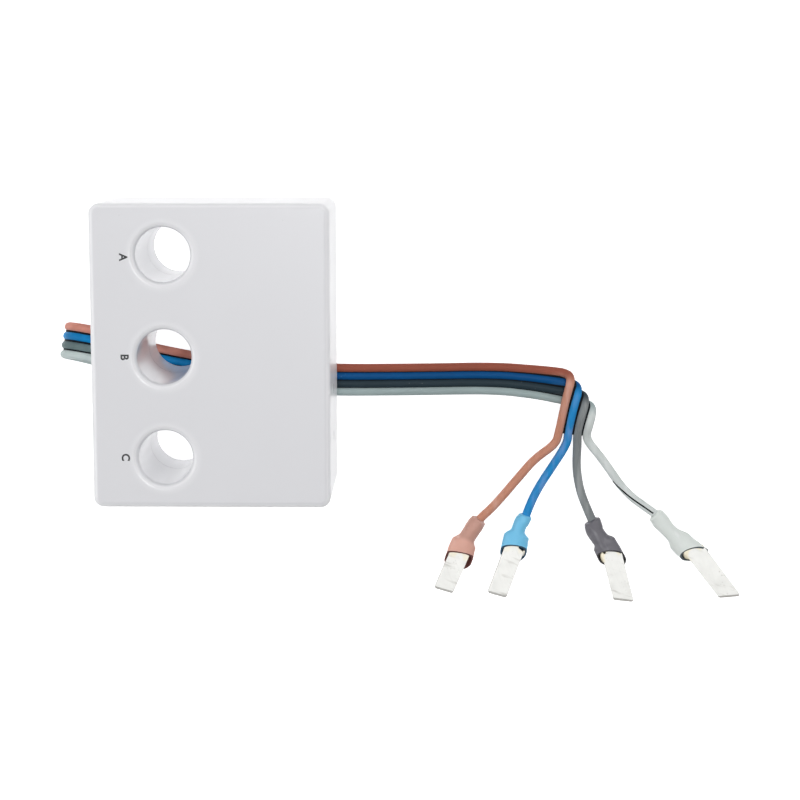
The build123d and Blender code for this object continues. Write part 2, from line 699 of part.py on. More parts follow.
# The sleeve's sections: where along the neck or the bell, and the shares of its
# full half width and half height.
SLEEVE_SECTIONS = [
    ("neck", 0, 0.94, 0.9),
    ("neck", 0.35, 1.1, 0.93),
    ("neck", 0.9, 1.04, 0.92),
    ("bell", 0.42, 0.9, 0.97),
    ("bell", 0.75, 1.0, 1.0),
    ("bell", 1, 1.01, 1.0),
]


def terminal_line(colour):
    """A terminal's places: the sleeve's start, its bend and the two directions."""
    neck, bell, degrees, shown = TERMINALS[colour]
    points = core_points(colour)
    first = heading(points)
    start = points[-1] - first * CORE_IN_SLEEVE
    bend = start + first * neck
    angle = math.radians(degrees)
    second = Vector(math.sin(angle), -math.cos(angle), 0)
    return start, bend, first, second


def sleeve_shape(colour, inset, overshoot):
    """The sleeve's outside, or its inside when moved in by its wall."""
    neck, bell, degrees, shown = TERMINALS[colour]
    start, bend, first, second = terminal_line(colour)
    middle = (first + second).normalized()
    faces = []
    for part, along, width, height in SLEEVE_SECTIONS:
        if part == "neck":
            place = start + first * (neck * along - overshoot * (along == 0))
            half = (width * (SLEEVE_R - inset), height * (SLEEVE_R - inset))
            faces.append(ellipse_at(place, first if along < 0.5 else middle, *half))
        else:
            place = bend + second * (bell * along + overshoot * (along == 1))
            half = (width * (BELL_HALF_WIDTH - inset), height * (BELL_HALF_HEIGHT - inset))
            faces.append(ellipse_at(place, second, *half))
    return loft(faces)


def sleeve(colour):
    return sleeve_shape(colour, 0, 0) - sleeve_shape(colour, SLEEVE_WALL, TOUCH)


def blade(colour):
    """A flat blade with its shank and the barrel that grips the core."""
    neck, bell, degrees, shown = TERMINALS[colour]
    start, bend, first, second = terminal_line(colour)
    flat = Plane(origin=bend, x_dir=second, z_dir=(0, 0, 1))
    wide = BLADE_WIDTH / 2
    thin = SHANK_WIDTH / 2
    shoulder = bell / 2
    tip = bell + shown
    full = shoulder + wide - thin
    lean = wide * math.tan(math.radians(TIP_SLANTS[colour]))
    outline = flat * make_face(Polyline(
        (-thin / 2, -thin), (shoulder, -thin), (full, -wide), (tip - lean, -wide),
        (tip + lean, wide), (full, wide), (shoulder, thin), (-thin / 2, thin), close=True))
    bar = extrude(outline, BLADE_THICKNESS / 2, both=True)
    corners = bar.edges().filter_by(Axis.Z).sort_by(Axis.Y)[:2]
    bar = fillet(corners, BLADE_CORNER)
    barrel_start = start + first * CORE_IN_SLEEVE
    length = neck - CORE_IN_SLEEVE
    barrel = Plane(origin=barrel_start, z_dir=first) * Pos(0, 0, length / 2) * Cylinder(BARREL_R, length)
    return joined([bar, barrel])


NODES = {
    "front_housing": front_housing,
    "rear_cover": rear_cover,
    "main_board": main_board,
    "wire_clamp": wire_clamp,
    "solder_lugs": solder_lugs,
    "ct_carrier": ct_carrier,
    "transformer_core": transformer_core,
    "transformer_winding": transformer_winding,
    "bulk_capacitors": bulk_capacitors,
    "output_capacitor": output_capacitor,
    "bridge_rectifier": bridge_rectifier,
    "input_resistors": input_resistors,
    "varistors": varistors,
    "filter_inductor": filter_inductor,
    "metering_chip": metering_chip,
    "crystal": crystal,
    "divider_resistors": divider_resistors,
    "board_header": board_header,
    "radio_board": radio_board,
    "radio_shield": radio_shield,
    "antenna": antenna,
    "status_light": status_light,
    "light_pipe": light_pipe,
    "switch_body": switch_body,
    "switch_plunger": switch_plunger,
    "push_button": push_button,
}

for node, make in NODES.items():
    export_step(make(), f"parts/{node}.step")
for phase, bore_y in BORE_YS.items():
    export_step(ct_core(bore_y), f"parts/ct_core_{phase}.step")
    export_step(ct_winding(bore_y), f"parts/ct_winding_{phase}.step")
for colour in COLOURS:
    export_step(cord_core(colour), f"parts/core_{colour}.step")
    export_step(sleeve(colour), f"parts/sleeve_{colour}.step")
    export_step(blade(colour), f"parts/blade_{colour}.step")
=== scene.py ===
# %% [markdown]
# # A three-phase energy meter with a flat cord
# The real thing is a small white plastic box that slips over three phase wires, so
# three round bores run through it. A flat cord of four cores comes out of its left
# side, folds back under the box and ends in four flat tinned blades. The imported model
# brings every rigid piece at its true place, so the first step is to load it and to
# keep its outer box for later.

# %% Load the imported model
import math

import bmesh
import bpy
from mathutils import Matrix, Vector, noise
from mathutils.geometry import interpolate_bezier


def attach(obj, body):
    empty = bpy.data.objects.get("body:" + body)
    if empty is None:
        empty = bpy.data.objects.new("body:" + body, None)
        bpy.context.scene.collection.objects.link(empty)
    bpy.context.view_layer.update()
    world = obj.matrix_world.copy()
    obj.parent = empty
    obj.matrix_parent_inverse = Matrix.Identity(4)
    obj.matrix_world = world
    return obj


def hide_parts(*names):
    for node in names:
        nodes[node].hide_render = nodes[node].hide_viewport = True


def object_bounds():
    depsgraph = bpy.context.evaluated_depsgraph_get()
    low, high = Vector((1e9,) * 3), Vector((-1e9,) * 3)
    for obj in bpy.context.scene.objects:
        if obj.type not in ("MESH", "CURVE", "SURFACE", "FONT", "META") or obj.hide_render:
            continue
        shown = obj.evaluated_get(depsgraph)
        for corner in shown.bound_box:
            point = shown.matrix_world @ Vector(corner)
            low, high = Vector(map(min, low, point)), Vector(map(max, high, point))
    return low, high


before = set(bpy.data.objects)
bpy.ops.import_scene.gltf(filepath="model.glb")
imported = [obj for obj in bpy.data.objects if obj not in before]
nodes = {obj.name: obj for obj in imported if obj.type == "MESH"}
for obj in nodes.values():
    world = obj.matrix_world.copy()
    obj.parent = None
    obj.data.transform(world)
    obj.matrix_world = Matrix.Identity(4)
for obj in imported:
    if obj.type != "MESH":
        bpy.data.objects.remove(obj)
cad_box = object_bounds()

MM = 0.001
UP = Vector((0, 0, 1))
scene = bpy.context.scene
scene.view_settings.view_transform = "Standard"
print("loaded", len(nodes), "pieces of the packed model")

# %% [markdown]
# ## The camera
# The box lies on its rear, and the photograph looks down on its front face from beyond
# its top right corner, with a long lens. So its top and its right side show a little,
# and the bores show their left and lower walls. A camera could be aimed with a tracking
# constraint, but its place and its turn are known numbers here, so the three directions
# of its body go straight into its matrix.

# %% Camera
CAMERA_PLACE = Vector((47.1, 43.4, 365.1)) * MM
CAMERA_LOOKS = Vector((-0.0166, -0.1428, -0.9896)).normalized()
CAMERA_RIGHT = Vector((0.99986, 0.0, -0.01675))
CAMERA_LENS = 91.85


def camera_matrix(place, looks, right):
    """A camera looks along its own -Z, with its own +X to the right."""
    up = right.cross(looks).normalized()
    right = looks.cross(up).normalized()
    turn = Matrix((right, up, -looks)).transposed()
    return Matrix.Translation(place) @ turn.to_4x4()


camera_data = bpy.data.cameras.new("camera")
camera_data.lens = CAMERA_LENS
camera_data.sensor_width = 36
camera_data.clip_start = 0.01
camera = bpy.data.objects.new("camera", camera_data)
camera.matrix_world = camera_matrix(CAMERA_PLACE, CAMERA_LOOKS, CAMERA_RIGHT)
scene.collection.objects.link(camera)
scene.camera = camera
print("camera", [round(v, 3) for v in camera.location], "lens", camera_data.lens)

# %% [markdown]
# ## The four cores of the cord
# A flat cord is four insulated cores side by side. Each one could be a swept mesh, but
# a curve with a round bevel is the natural tool: it stays smooth at any zoom, and the
# curve itself is the cord's centre line. The list below gives the middle of the ribbon
# and the step from one core to the next, so that all four stay side by side through the
# loop at the left and the fold at the right. After the fold each core has points of its
# own.

# %% Sizes and route of the cord
CORE_DIA = 1.62
CORE_PITCH = 1.70
CORD_START = -9.8
# Heights: the seam of the case, the floor, the ribbon on the floor, the ribbon folded over
SEAM = -3.6
FLOOR = -14.75
LOW = -13.925
HIGH = -11.825
FOLD_MIDDLE = (LOW + HIGH) / 2
SPLIT = -13.225
LOOP_MIDDLE = (SEAM + LOW) / 2
TERMINAL_Z = -13.38
# The middle of the ribbon, and the step from one core to the next there
RIBBON = [
    ((CORD_START, 0.0, SEAM), (0.0, 1.0)),
    ((-13.2, 0.0, SEAM), (0.07, 1.0)),
    ((-18.5, 1.0, SEAM), (0.14, 0.99)),
    ((-21.4, 0.5, LOOP_MIDDLE), (0.19, 1.0)),
    ((-18.5, -0.9, LOW), (0.24, 0.98)),
    ((-8.4, -3.5, LOW), (0.21, 0.98)),
    ((7.0, -6.35, LOW), (0.12, 0.92)),
    ((25.5, -7.55, LOW), (0.03, 0.87)),
    ((44.0, -7.4, LOW), (-0.02, 0.86)),
    ((58.0, -7.1, LOW), (0.03, 0.86)),
    ((65.4, -7.75, LOW), (-0.12, 0.93)),
    ((70.62, -8.57, LOW), (-0.48, 1.10)),
    ((73.5, -8.93, LOW), (-0.80, 1.13)),
    ((74.54, -9.39, FOLD_MIDDLE), (-0.80, 1.13)),
    ((74.6, -10.53, HIGH), (-0.80, 1.13)),
    ((73.9, -13.34, HIGH), (-0.88, 0.88)),
    ((73.12, -17.46, SPLIT), (-1.0, 0.1)),
]
# The rest of each core, once it has left the ribbon
LOOSE = {
    "brown": [(70.0, -19.6, LOW), (66.2, -22.3, LOW), (63.4, -25.6, LOW),
              (58.4, -31.5, TERMINAL_Z), (55.65, -33.95, TERMINAL_Z), (54.45, -35.79, TERMINAL_Z)],
    "blue": [(72.2, -19.4, LOW), (69.6, -23.6, LOW), (67.3, -27.1, LOW),
             (65.2, -31.0, TERMINAL_Z), (63.88, -35.13, TERMINAL_Z)],
    "black": [(74.1, -19.6, LOW), (73.9, -24.0, LOW), (74.7, -28.6, LOW),
              (76.1, -32.0, TERMINAL_Z), (77.14, -34.35, TERMINAL_Z), (78.36, -36.18, TERMINAL_Z)],
    "grey": [(76.2, -19.3, LOW), (78.9, -22.5, LOW), (83.2, -28.8, LOW),
             (87.6, -31.9, TERMINAL_Z), (89.0, -32.87, TERMINAL_Z), (90.61, -34.37, TERMINAL_Z)],
}
COLOURS = ["brown", "blue", "black", "grey"]


def ribbon_points(offset):
    """The ribbon's route, moved sideways by so many core pitches, in metres."""
    step = offset * CORE_PITCH
    return [Vector((x + step * dx, y + step * dy, z)) * MM for (x, y, z), (dx, dy) in RIBBON]


def core_offset(colour):
    """Brown lies at one side of the ribbon and grey at the other."""
    return 1.5 - COLOURS.index(colour)


def core_points(colour):
    """The whole route of one core, in metres."""
    return ribbon_points(core_offset(colour)) + [Vector(p) * MM for p in LOOSE[colour]]


print("route of", len(core_points("brown")), "points for each core")

# %% [markdown]
# ## Drawing the cores
# The points steer a quadratic spline, which starts and ends at its first and its last
# point. Its order and its end setting are given after the points, because they don't
# hold before. The bevel gives it its round section. Each curve could have a bevel of
# its own depth, but here the depth is one metre and each point's radius scales it down,
# so one function also draws the thin webs that come next. Every core rides on the case
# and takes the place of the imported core.

# %% Draw the cores


def smooth_curve(name, points, radius, rounds):
    """A quadratic spline on the route's control points, with a round section."""
    data = bpy.data.curves.new(name, "CURVE")
    data.dimensions = "3D"
    data.bevel_depth = 1.0
    data.bevel_resolution = rounds
    data.resolution_u = 20
    data.use_fill_caps = True
    spline = data.splines.new("NURBS")
    spline.points.add(len(points) - 1)
    for point, place in zip(spline.points, points):
        point.co = (*place, 1.0)
        point.radius = radius
    spline.order_u = 3
    spline.use_endpoint_u = True
    piece = bpy.data.objects.new(name, data)
    scene.collection.objects.link(piece)
    return piece


flex = {}
for colour in COLOURS:
    flex[colour] = smooth_curve("flex_" + colour, core_points(colour), CORE_DIA / 2 * MM, 7)
    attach(flex[colour], "case")
    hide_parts("core_" + colour)
    print("core", colour, "has", len(flex[colour].data.splines[0].points), "points")

# %% [markdown]
# ## The webs between the cores
# The cores of a flat cord are moulded together: a thin web of the same plastic closes
# the groove between two neighbours, and the groove lies in shade. A dark line could be
# painted on the cores, but here a thin near-black bar lies in the groove as painted
# shade, which gives the same dark line from every side, and it ends where the cores
# split. A spline whose points are the average of its neighbours' points runs exactly
# between them.

# %% Webs
# Radii of the near-black bars, which are painted shade in the grooves
WEB_RADII = [0.48, 0.48, 0.38]
webs = []
for left, right, radius in zip(COLOURS, COLOURS[1:], WEB_RADII):
    middle = (core_offset(left) + core_offset(right)) / 2
    web = smooth_curve(f"web_{left}_{right}", ribbon_points(middle), radius * MM, 3)
    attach(web, "case")
    webs.append(web)
print("webs", [web.name for web in webs])

# %% [markdown]
# ## A dark strip on the grey core
# A thin dark strip lies along the grey core.
# It starts on the core's side and climbs to its top, where the sleeve covers it. A
# quadratic spline runs from the middle of one stretch between its points to the middle
# of the next, which gives the places on the core without asking Blender for them.

# %% Dark strip
STRIP_RADIUS = 0.16
STRIP_SINK = 0.05
# Stretch of the route, share of it, and how far round from the core's top, in degrees
STRIP = [(19, 0.08, 62), (19, 0.2, 52), (19, 0.4, 33), (19, 0.65, 19),
         (20, 0.0, 8), (20, 0.45, 4), (21, 0.1, 4)]


def on_route(points, corner, share):
    """A place on the spline near one of its points, and the direction there."""
    before, at, after = points[corner - 1:corner + 2]
    start, end = (before + at) / 2, (at + after) / 2
    place = start * (1 - share) ** 2 + at * 2 * share * (1 - share) + end * share**2
    return place, ((at - start) * (1 - share) + (end - at) * share).normalized()


strip_places = []
for corner, share, degrees in STRIP:
    place, way = on_route(core_points("grey"), corner, share)
    aside = Vector((way.y, -way.x, 0)).normalized()
    angle = math.radians(degrees)
    outward = aside * math.sin(angle) + UP * math.cos(angle)
    strip_places.append(place + outward * (CORE_DIA / 2 - STRIP_SINK) * MM)
strip = smooth_curve("torn_strip", strip_places, STRIP_RADIUS * MM, 2)
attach(strip, "case")
# The strip takes the same near-black as the webs
webs.append(strip)
print("strip of", len(strip_places), "points")

# %% [markdown]
# ## Heat-shrink sleeves
# Each core ends in a sleeve that was shrunk over the core and over the root of the
# blade: a short narrow neck, then a wide flat bell with an open oval mouth. The form
# could be a stretched cylinder, but a real sleeve swells at its start, thins over the
# core, and has small crinkles where it closed on the metal. So it is drawn ring by ring
# along its bent middle line. The middle line comes first: Bezier pieces through four
# places seen in the photograph, each piece leaving where the last one points.

# %% Middle line of a sleeve
CORE_IN_SLEEVE = 2.2
LINE_STEPS = 25
# Neck length, bell length, heading of the blade in degrees, length of blade shown
TERMINALS = {
    "brown": (4.8, 4.3, -22.5, 6.3),
    "blue": (4.4, 4.1, -19.8, 8.0),
    "black": (4.6, 4.2, 17.1, 7.8),
    "grey": (5.9, 5.0, 40.5, 10.6),
}
# The start, the neck, the bell and the mouth of each sleeve, in millimetres
SLEEVE_LINES = {
    "brown": [(55.8, -33.85), (54.37, -35.95), (52.85, -38.6), (51.97, -41.24)],
    "blue": [(64.5, -33.05), (63.35, -35.17), (62.6, -37.95), (62.26, -39.97)],
    "black": [(76.87, -33.97), (77.58, -36.2), (79.5, -38.85), (80.7, -41.1)],
    "grey": [(88.72, -32.75), (90.75, -35.2), (94.2, -38.6), (96.41, -40.51)],
}


def terminal_line(colour):
    """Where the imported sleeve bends, and its directions before and after the bend."""
    neck, bell, degrees, shown = TERMINALS[colour]
    before, end = (Vector(p) for p in LOOSE[colour][-2:])
    first = (end - before).normalized()
    bend = end - first * CORE_IN_SLEEVE + first * neck
    angle = math.radians(degrees)
    second = Vector((math.sin(angle), -math.cos(angle), 0))
    return bend, first, second


def middle_line(colour):
    """Close places along a sleeve, from its start to its mouth."""
    knots = [Vector((x, y, TERMINAL_Z)) for x, y in SLEEVE_LINES[colour]]
    bend, first, second = terminal_line(colour)
    ways = [(after - before).normalized() for before, after in zip(knots, knots[2:])]
    ways = [first] + ways + [(knots[-1] - knots[-2]).normalized()]
    places = []
    for low, high, leaving, arriving in zip(knots, knots[1:], ways, ways[1:]):
        reach = (high - low).length / 3
        handles = (low + leaving * reach, high - arriving * reach)
        places += interpolate_bezier(low, *handles, high, LINE_STEPS)[:-1]
    return places + [knots[-1]]


MIDDLE_LINES = {colour: middle_line(colour) for colour in COLOURS}
SLEEVE_LENGTHS = {}
for colour, places in MIDDLE_LINES.items():
    SLEEVE_LENGTHS[colour] = sum((high - low).length for low, high in zip(places, places[1:]))


def along_sleeve(colour, travel):
    """The place so many millimetres down a sleeve, and the line's direction there."""
    places = MIDDLE_LINES[colour]
    for low, high in zip(places, places[1:]):
        step = (high - low).length
        if travel <= step or high is places[-1]:
            way = (high - low) / step
            return low + way * travel, way
        travel -= step


print("sleeve lengths", {c: round(v, 2) for c, v in SLEEVE_LENGTHS.items()})

# %% [markdown]
# ## The rings of a sleeve
# The width is given at a few stations along the sleeve and eased between them, as one
# would draw a vase. The mouth didn't shrink evenly: its upper lip lies further back
# than its lower lip. A cut across the mouth would be flat, so instead each point slides
# along the middle line, the more so the nearer its ring lies to the mouth. Smooth noise
# then moves each point a little, for the crinkles.

# %% Rings of a sleeve
START_RADIUS = 0.92
# Radii of the swell and the neck, half the width of the bell, and the shares of the
# length where the bell opens and where it is full
BELLS = {
    "brown": (1.60, 1.55, 2.55, 0.49, 0.69),
    "blue": (1.36, 1.33, 2.45, 0.45, 0.63),
    "black": (1.70, 1.60, 2.38, 0.51, 0.67),
    "grey": (1.62, 1.44, 2.30, 0.46, 0.68),
}
# Half the height of a ring: a share of half its width, and no more than the second value
HEIGHT_SHARE = 0.96
TALLEST = 1.3
# How far the mouth's upper lip lies back, and how far its lower lip and its right end
# lie forward, in millimetres, and how sharply the lips curve
MOUTHS = {
    "brown": (1.3, 2.3, -0.25, 0.45),
    "blue": (1.4, 2.2, -0.12, 0.7),
    "black": (1.7, 2.3, 0.9, 0.7),
    "grey": (1.9, 1.5, 1.1, 0.9),
}
RING_SIDES = 56
OFF_FLOOR = 0.03


def half_width_at(colour, at):
    """A sleeve's half width at a share of its length, eased between a few stations.

    Each station is a share of the length and the half width there.
    """
    swell, neck, bell, opens, full = BELLS[colour]
    stations = [(0, START_RADIUS), (0.035, swell * 0.92), (0.18, swell), (opens - 0.07, neck * 0.98),
                (opens, neck), (full, bell * 0.97), (0.9, bell), (1, bell * 1.01)]
    for low, high in zip(stations, stations[1:]):
        if at <= high[0]:
            share = (at - low[0]) / (high[0] - low[0])
            share = share * share * (3 - 2 * share)
            return low[1] + (high[1] - low[1]) * share
    return stations[-1][1]


# Height of the crinkles between the first share of the length and the second, and beyond
CRINKLE = 0.08
CRINKLED = (0.15, 0.85)
CRINKLE_AT_ENDS = 0.04
COARSE_NOISE = 0.55
FINE_NOISE = 1.6
FINE_SHARE = 0.45


def crinkle(place, seed, amount):
    """A smooth random height at a place given in millimetres."""
    coarse = noise.noise(place * COARSE_NOISE + Vector((seed, 0, 0)))
    fine = noise.noise(place * FINE_NOISE + Vector((0, seed, 0)))
    return amount * (coarse + FINE_SHARE * fine)


def sleeve_ring(colour, seed, at, rim=0.0):
    """One ring of points round the sleeve's middle line; near the mouth it leans back."""
    opens = BELLS[colour][3]
    upper, lower, right, shape = MOUTHS[colour]
    half_width = half_width_at(colour, at)
    half_height = min(half_width * HEIGHT_SHARE, TALLEST)
    in_bell = max(at - opens, 0) / (1 - opens)
    rough = CRINKLE if CRINKLED[0] < at < CRINKLED[1] else CRINKLE_AT_ENDS
    ring = []
    for side in range(RING_SIDES):
        angle = 2 * math.pi * side / RING_SIDES
        height = math.sin(angle)
        lean = -upper * height**shape if height > 0 else lower * (-height) ** shape
        travel = at * SLEEVE_LENGTHS[colour] + rim + in_bell**2 * (lean + right * math.cos(angle))
        middle, heading = along_sleeve(colour, travel)
        level = Vector((-heading.y, heading.x, 0))
        outward = level * math.cos(angle) + UP * math.sin(angle)
        place = middle + level * (half_width - rim) * math.cos(angle)
        place += UP * (half_height - rim) * math.sin(angle)
        place += outward * crinkle(place, seed, rough)
        place.z = max(place.z, FLOOR + OFF_FLOOR)
        ring.append(place * MM)
    return ring


print("mouths", {c: round(2 * half_width_at(c, 1), 1) for c in COLOURS}, "mm wide")

# %% [markdown]
# ## From rings to sleeves
# The rings are joined into a tube, and two last rings step inward, so that the lip has
# a rim. A Solidify modifier gives the tube the thickness of its wall, and its material
# offset gives the inside the second material, a dark painted shade; the lip's rim has it
# too, as a painted shadow under the lip. A small bevel keeps the lip from looking cut
# with a knife.

# %% Sleeves
RING_COUNT = 72
LIP_RIM = 0.3
SLEEVE_WALL = 0.38
LIP_BREAK = 0.09
# Each sleeve reads the noise at a place of its own, this far from the last one's
SEED_STEP = 3.7


def sleeve_mesh(colour, seed):
    """The rings joined into a tube; the rim of the lip has the second material, painted shade."""
    rings = [sleeve_ring(colour, seed, k / (RING_COUNT - 1)) for k in range(RING_COUNT)]
    rings += [sleeve_ring(colour, seed, 1, rim) for rim in (LIP_RIM / 2, LIP_RIM)]
    points = [place for ring in rings for place in ring]
    faces = []
    for k in range(len(rings) - 1):
        for side in range(RING_SIDES):
            after = (side + 1) % RING_SIDES
            low, high = k * RING_SIDES, (k + 1) * RING_SIDES
            faces.append((low + side, low + after, high + after, high + side))
    mesh = bpy.data.meshes.new("shrink_" + colour)
    mesh.from_pydata(points, [], faces)
    mesh.shade_smooth()
    # The rim of the lip takes the second material: a dark painted shadow under the lip
    for face in mesh.polygons[(RING_COUNT - 1) * RING_SIDES:]:
        face.material_index = 1
    return mesh


shrink = {}
for seed, colour in enumerate(COLOURS):
    piece = bpy.data.objects.new("shrink_" + colour, sleeve_mesh(colour, SEED_STEP * seed + 1))
    scene.collection.objects.link(piece)
    wall = piece.modifiers.new("wall", "SOLIDIFY")
    wall.thickness = SLEEVE_WALL * MM
    wall.offset = -1
    wall.material_offset = 1
    edge = piece.modifiers.new("edge", "BEVEL")
    edge.width = LIP_BREAK * MM
    edge.segments = 2
    edge.limit_method = "ANGLE"
    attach(piece, "case")
    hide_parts("sleeve_" + colour)
    shrink[colour] = piece
    print("sleeve", colour, "has", len(piece.data.vertices), "points")

# %% [markdown]
# ## Blades
# The blades are stamped tabs of tinned copper. Stamping leaves a tip that is cut aslant
# and pressed thinner, and edges that are slightly round. A new mesh could be drawn, but
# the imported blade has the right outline, so a copy of it is cut across just behind its
# tip, and the rim in front of the cut is drawn down. The photograph shows the blades a
# little askew in their sleeves, so the wide part is turned about the tip and the
# corners of its root are moved back. A Bevel modifier then breaks all sharp edges.

# %% Where the tips are
# How far the edge of each tip is off square, in degrees
TIP_SLANTS = {"brown": -6, "blue": -4, "black": 22, "grey": 22}


def tip_of(colour):
    """The middle of the tip, the blade's heading, and the direction square to the tip's edge."""
    neck, bell, degrees, shown = TERMINALS[colour]
    bend, first, heading = terminal_line(colour)
    level = Vector((-heading.y, heading.x, 0))
    slant = math.radians(TIP_SLANTS[colour])
    square = heading * math.cos(slant) - level * math.sin(slant)
    return bend + heading * (bell + shown), heading, square


for colour in COLOURS:
    print("blade", colour, "tip at", [round(v, 2) for v in tip_of(colour)[0]])

# %% Press the blades
TIP_LENGTH = 0.5
TIP_DROP = 0.34
CUT_GAP = 0.02
# How far behind the tip a sheared tip reaches
SHEAR_REACH = 1.3
# Where the wide part begins and the corners of its root end, ahead of the bell's middle
WIDENS = 0.5
ROOT_ENDS = 2
# How far each wide part is turned, in degrees
BLADE_TURNS = {"brown": -0.3, "blue": 0.0, "black": -2.3, "grey": -2.6}
# How far the left and the right corner of each root are moved back
ROOTS = {"brown": (0.7, 0.9), "blue": (0.8, 0.8), "black": (1.2, 0.6), "grey": (1.2, -0.6)}
# How much further the right end of each tip stands out, for each millimetre of its width
TIP_SHEARS = {"brown": 0, "blue": 0, "black": 0, "grey": 0.24}


def pressed_blade(colour):
    """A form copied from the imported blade, with a thinner tip and a turned wide part.

    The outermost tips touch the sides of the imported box, so no point may pass them.
    """
    tip, heading, square = tip_of(colour)
    level = Vector((-heading.y, heading.x, 0))
    neck, bell, degrees, shown = TERMINALS[colour]
    form = bmesh.new()
    form.from_mesh(nodes["blade_" + colour].data)
    everything = form.verts[:] + form.edges[:] + form.faces[:]
    bmesh.ops.bisect_plane(form, geom=everything, plane_co=(tip - square * TIP_LENGTH) * MM,
                           plane_no=square, dist=1e-6)
    turn = Matrix.Rotation(math.radians(BLADE_TURNS[colour]), 3, "Z")
    for vert in form.verts:
        place = vert.co / MM - tip
        aside = place.dot(level)
        in_front = place.dot(square) + TIP_LENGTH
        ahead = place.dot(heading) + shown + bell / 2
        if in_front > CUT_GAP and vert.co.z / MM > TERMINAL_Z:
            vert.co.z -= TIP_DROP * MM * min(in_front / TIP_LENGTH, 1)
        if in_front > TIP_LENGTH - SHEAR_REACH:
            place += heading * TIP_SHEARS[colour] * aside
        if ahead > WIDENS:
            back = ROOTS[colour][aside > 0] if ahead < ROOT_ENDS else 0
            flat = turn @ Vector((place.x - heading.x * back, place.y - heading.y * back, 0))
            vert.co.x = min((tip.x + flat.x) * MM, cad_box[1][0])
            vert.co.y = max((tip.y + flat.y) * MM, cad_box[0][1])
    return form


forms = {colour: pressed_blade(colour) for colour in COLOURS}
print("blade points", {colour: len(form.verts) for colour, form in forms.items()})

# %% [markdown]
# ## Solder, and the finished blades
# On three of the blades solder has run out beside the root and set as a low bead. A
# metaball would melt into the blade, but it would also round off the stamped edge, so a
# squashed ball is sunk into the form instead.

# %% Solder and blades
EDGE_BREAK = 0.07
# The middle of each bead, and half its size across, along and up
BEADS = {
    "blue": ((64.05, -40.4), (0.35, 0.7, 0.35)),
    "black": ((79.17, -41.1), (0.55, 1.25, 0.4)),
    "grey": ((95.02, -40.5), (0.85, 1.15, 0.4)),
}


def add_bead(form, colour):
    """A squashed ball that lies along the blade."""
    middle, halves = BEADS[colour]
    heading = tip_of(colour)[1]
    lies = Matrix.Translation(Vector((*middle, TERMINAL_Z)) * MM)
    lies @= Matrix.Rotation(math.atan2(heading.x, -heading.y), 4, "Z")
    lies @= Matrix.Diagonal((*(half * MM for half in halves), 1))
    bead = bmesh.ops.create_uvsphere(form, u_segments=20, v_segments=12, radius=1, matrix=lies)
    for face in {face for vert in bead["verts"] for face in vert.link_faces}:
        face.smooth = True


tabs = {}
for colour, form in forms.items():
    if colour in BEADS:
        add_bead(form, colour)
    mesh = bpy.data.meshes.new("tab_" + colour)
    form.to_mesh(mesh)
    form.free()
    piece = bpy.data.objects.new("tab_" + colour, mesh)
    scene.collection.objects.link(piece)
    edge = piece.modifiers.new("edge", "BEVEL")
    edge.width = EDGE_BREAK * MM
    edge.segments = 2
    edge.limit_method = "ANGLE"
    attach(piece, "case")
    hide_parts("blade_" + colour)
    tabs[colour] = piece
print("blades", [piece.name for piece in tabs.values()], "of which", len(BEADS), "with solder")

# %% [markdown]

# %% [markdown]
# ## Shader helpers
# Every finish here is procedural: it is worked out from the place on the surface, with
# no picture. The helper below adds one shader node and joins it up in one line, which
# keeps each recipe short enough to read.

# %% Shader node helper


def add(tree, kind, inputs=None, **settings):
    """One shader node, its settings, and its inputs as numbers, colours or sockets."""
    made = tree.nodes.new("ShaderNode" + kind)
    for key, value in settings.items():
        setattr(made, key, value)
    for key, value in (inputs or {}).items():
        if isinstance(value, bpy.types.NodeSocket):
            tree.links.new(value, made.inputs[key])
        else:
            made.inputs[key].default_value = value
    return made


def new_group(name, numbers, outputs):
    """An empty node group with named inputs and outputs."""
    tree = bpy.data.node_groups.new(name, "ShaderNodeTree")
    for key, value in numbers.items():
        socket = tree.interface.new_socket(key, in_out="INPUT", socket_type="NodeSocketFloat")
        socket.default_value = value
    for key, kind in outputs.items():
        tree.interface.new_socket(key, in_out="OUTPUT", socket_type="NodeSocket" + kind)
    entry = tree.nodes.new("NodeGroupInput")
    leave = tree.nodes.new("NodeGroupOutput")
    return tree, entry, leave


print("helpers ready")

# %% [markdown]
# ## Effects that several finishes share
# Three effects come back in many finishes, so each is a node group. Moulded plastic is
# never one flat colour: it has a faint cloudiness and a fine skin. Handled things carry
# fine hairlines, and small specks of dust settle on everything. Each group gives only
# masks and values, and each material decides what to do with them. A picture could do
# the same, but noise has no edge and no seam, and it stays sharp close up.

# %% Group: cloudiness and fine skin
skin, entry, leave = new_group(
    "moulded skin", {"Cloud scale": 60.0, "Skin scale": 2500.0, "Roughness": 0.4, "Spread": 0.06},
    {"Cloud": "Float", "Skin": "Float", "Roughness": "Float"})
where = add(skin, "TexCoord")
clouds = add(skin, "TexNoise", {"Vector": where.outputs["Object"], "Scale": entry.outputs["Cloud scale"],
                                "Detail": 3.0})
fine = add(skin, "TexNoise", {"Vector": where.outputs["Object"], "Scale": entry.outputs["Skin scale"],
                              "Detail": 2.0})
centred = add(skin, "Math", {0: clouds.outputs["Fac"], 1: 0.5}, operation="SUBTRACT")
spread = add(skin, "Math", {0: centred.outputs[0], 1: entry.outputs["Spread"],
                            2: entry.outputs["Roughness"]}, operation="MULTIPLY_ADD")
skin.links.new(clouds.outputs["Fac"], leave.inputs["Cloud"])
skin.links.new(fine.outputs["Fac"], leave.inputs["Skin"])
skin.links.new(spread.outputs[0], leave.inputs["Roughness"])
print("group", skin.name)

# %% [markdown]
# ## Hairlines
# A hairline is a long thin patch of noise. The surface is turned, then squeezed along
# one axis before the noise is read, so that its round patches come out as streaks, and
# only the brightest streaks are kept.

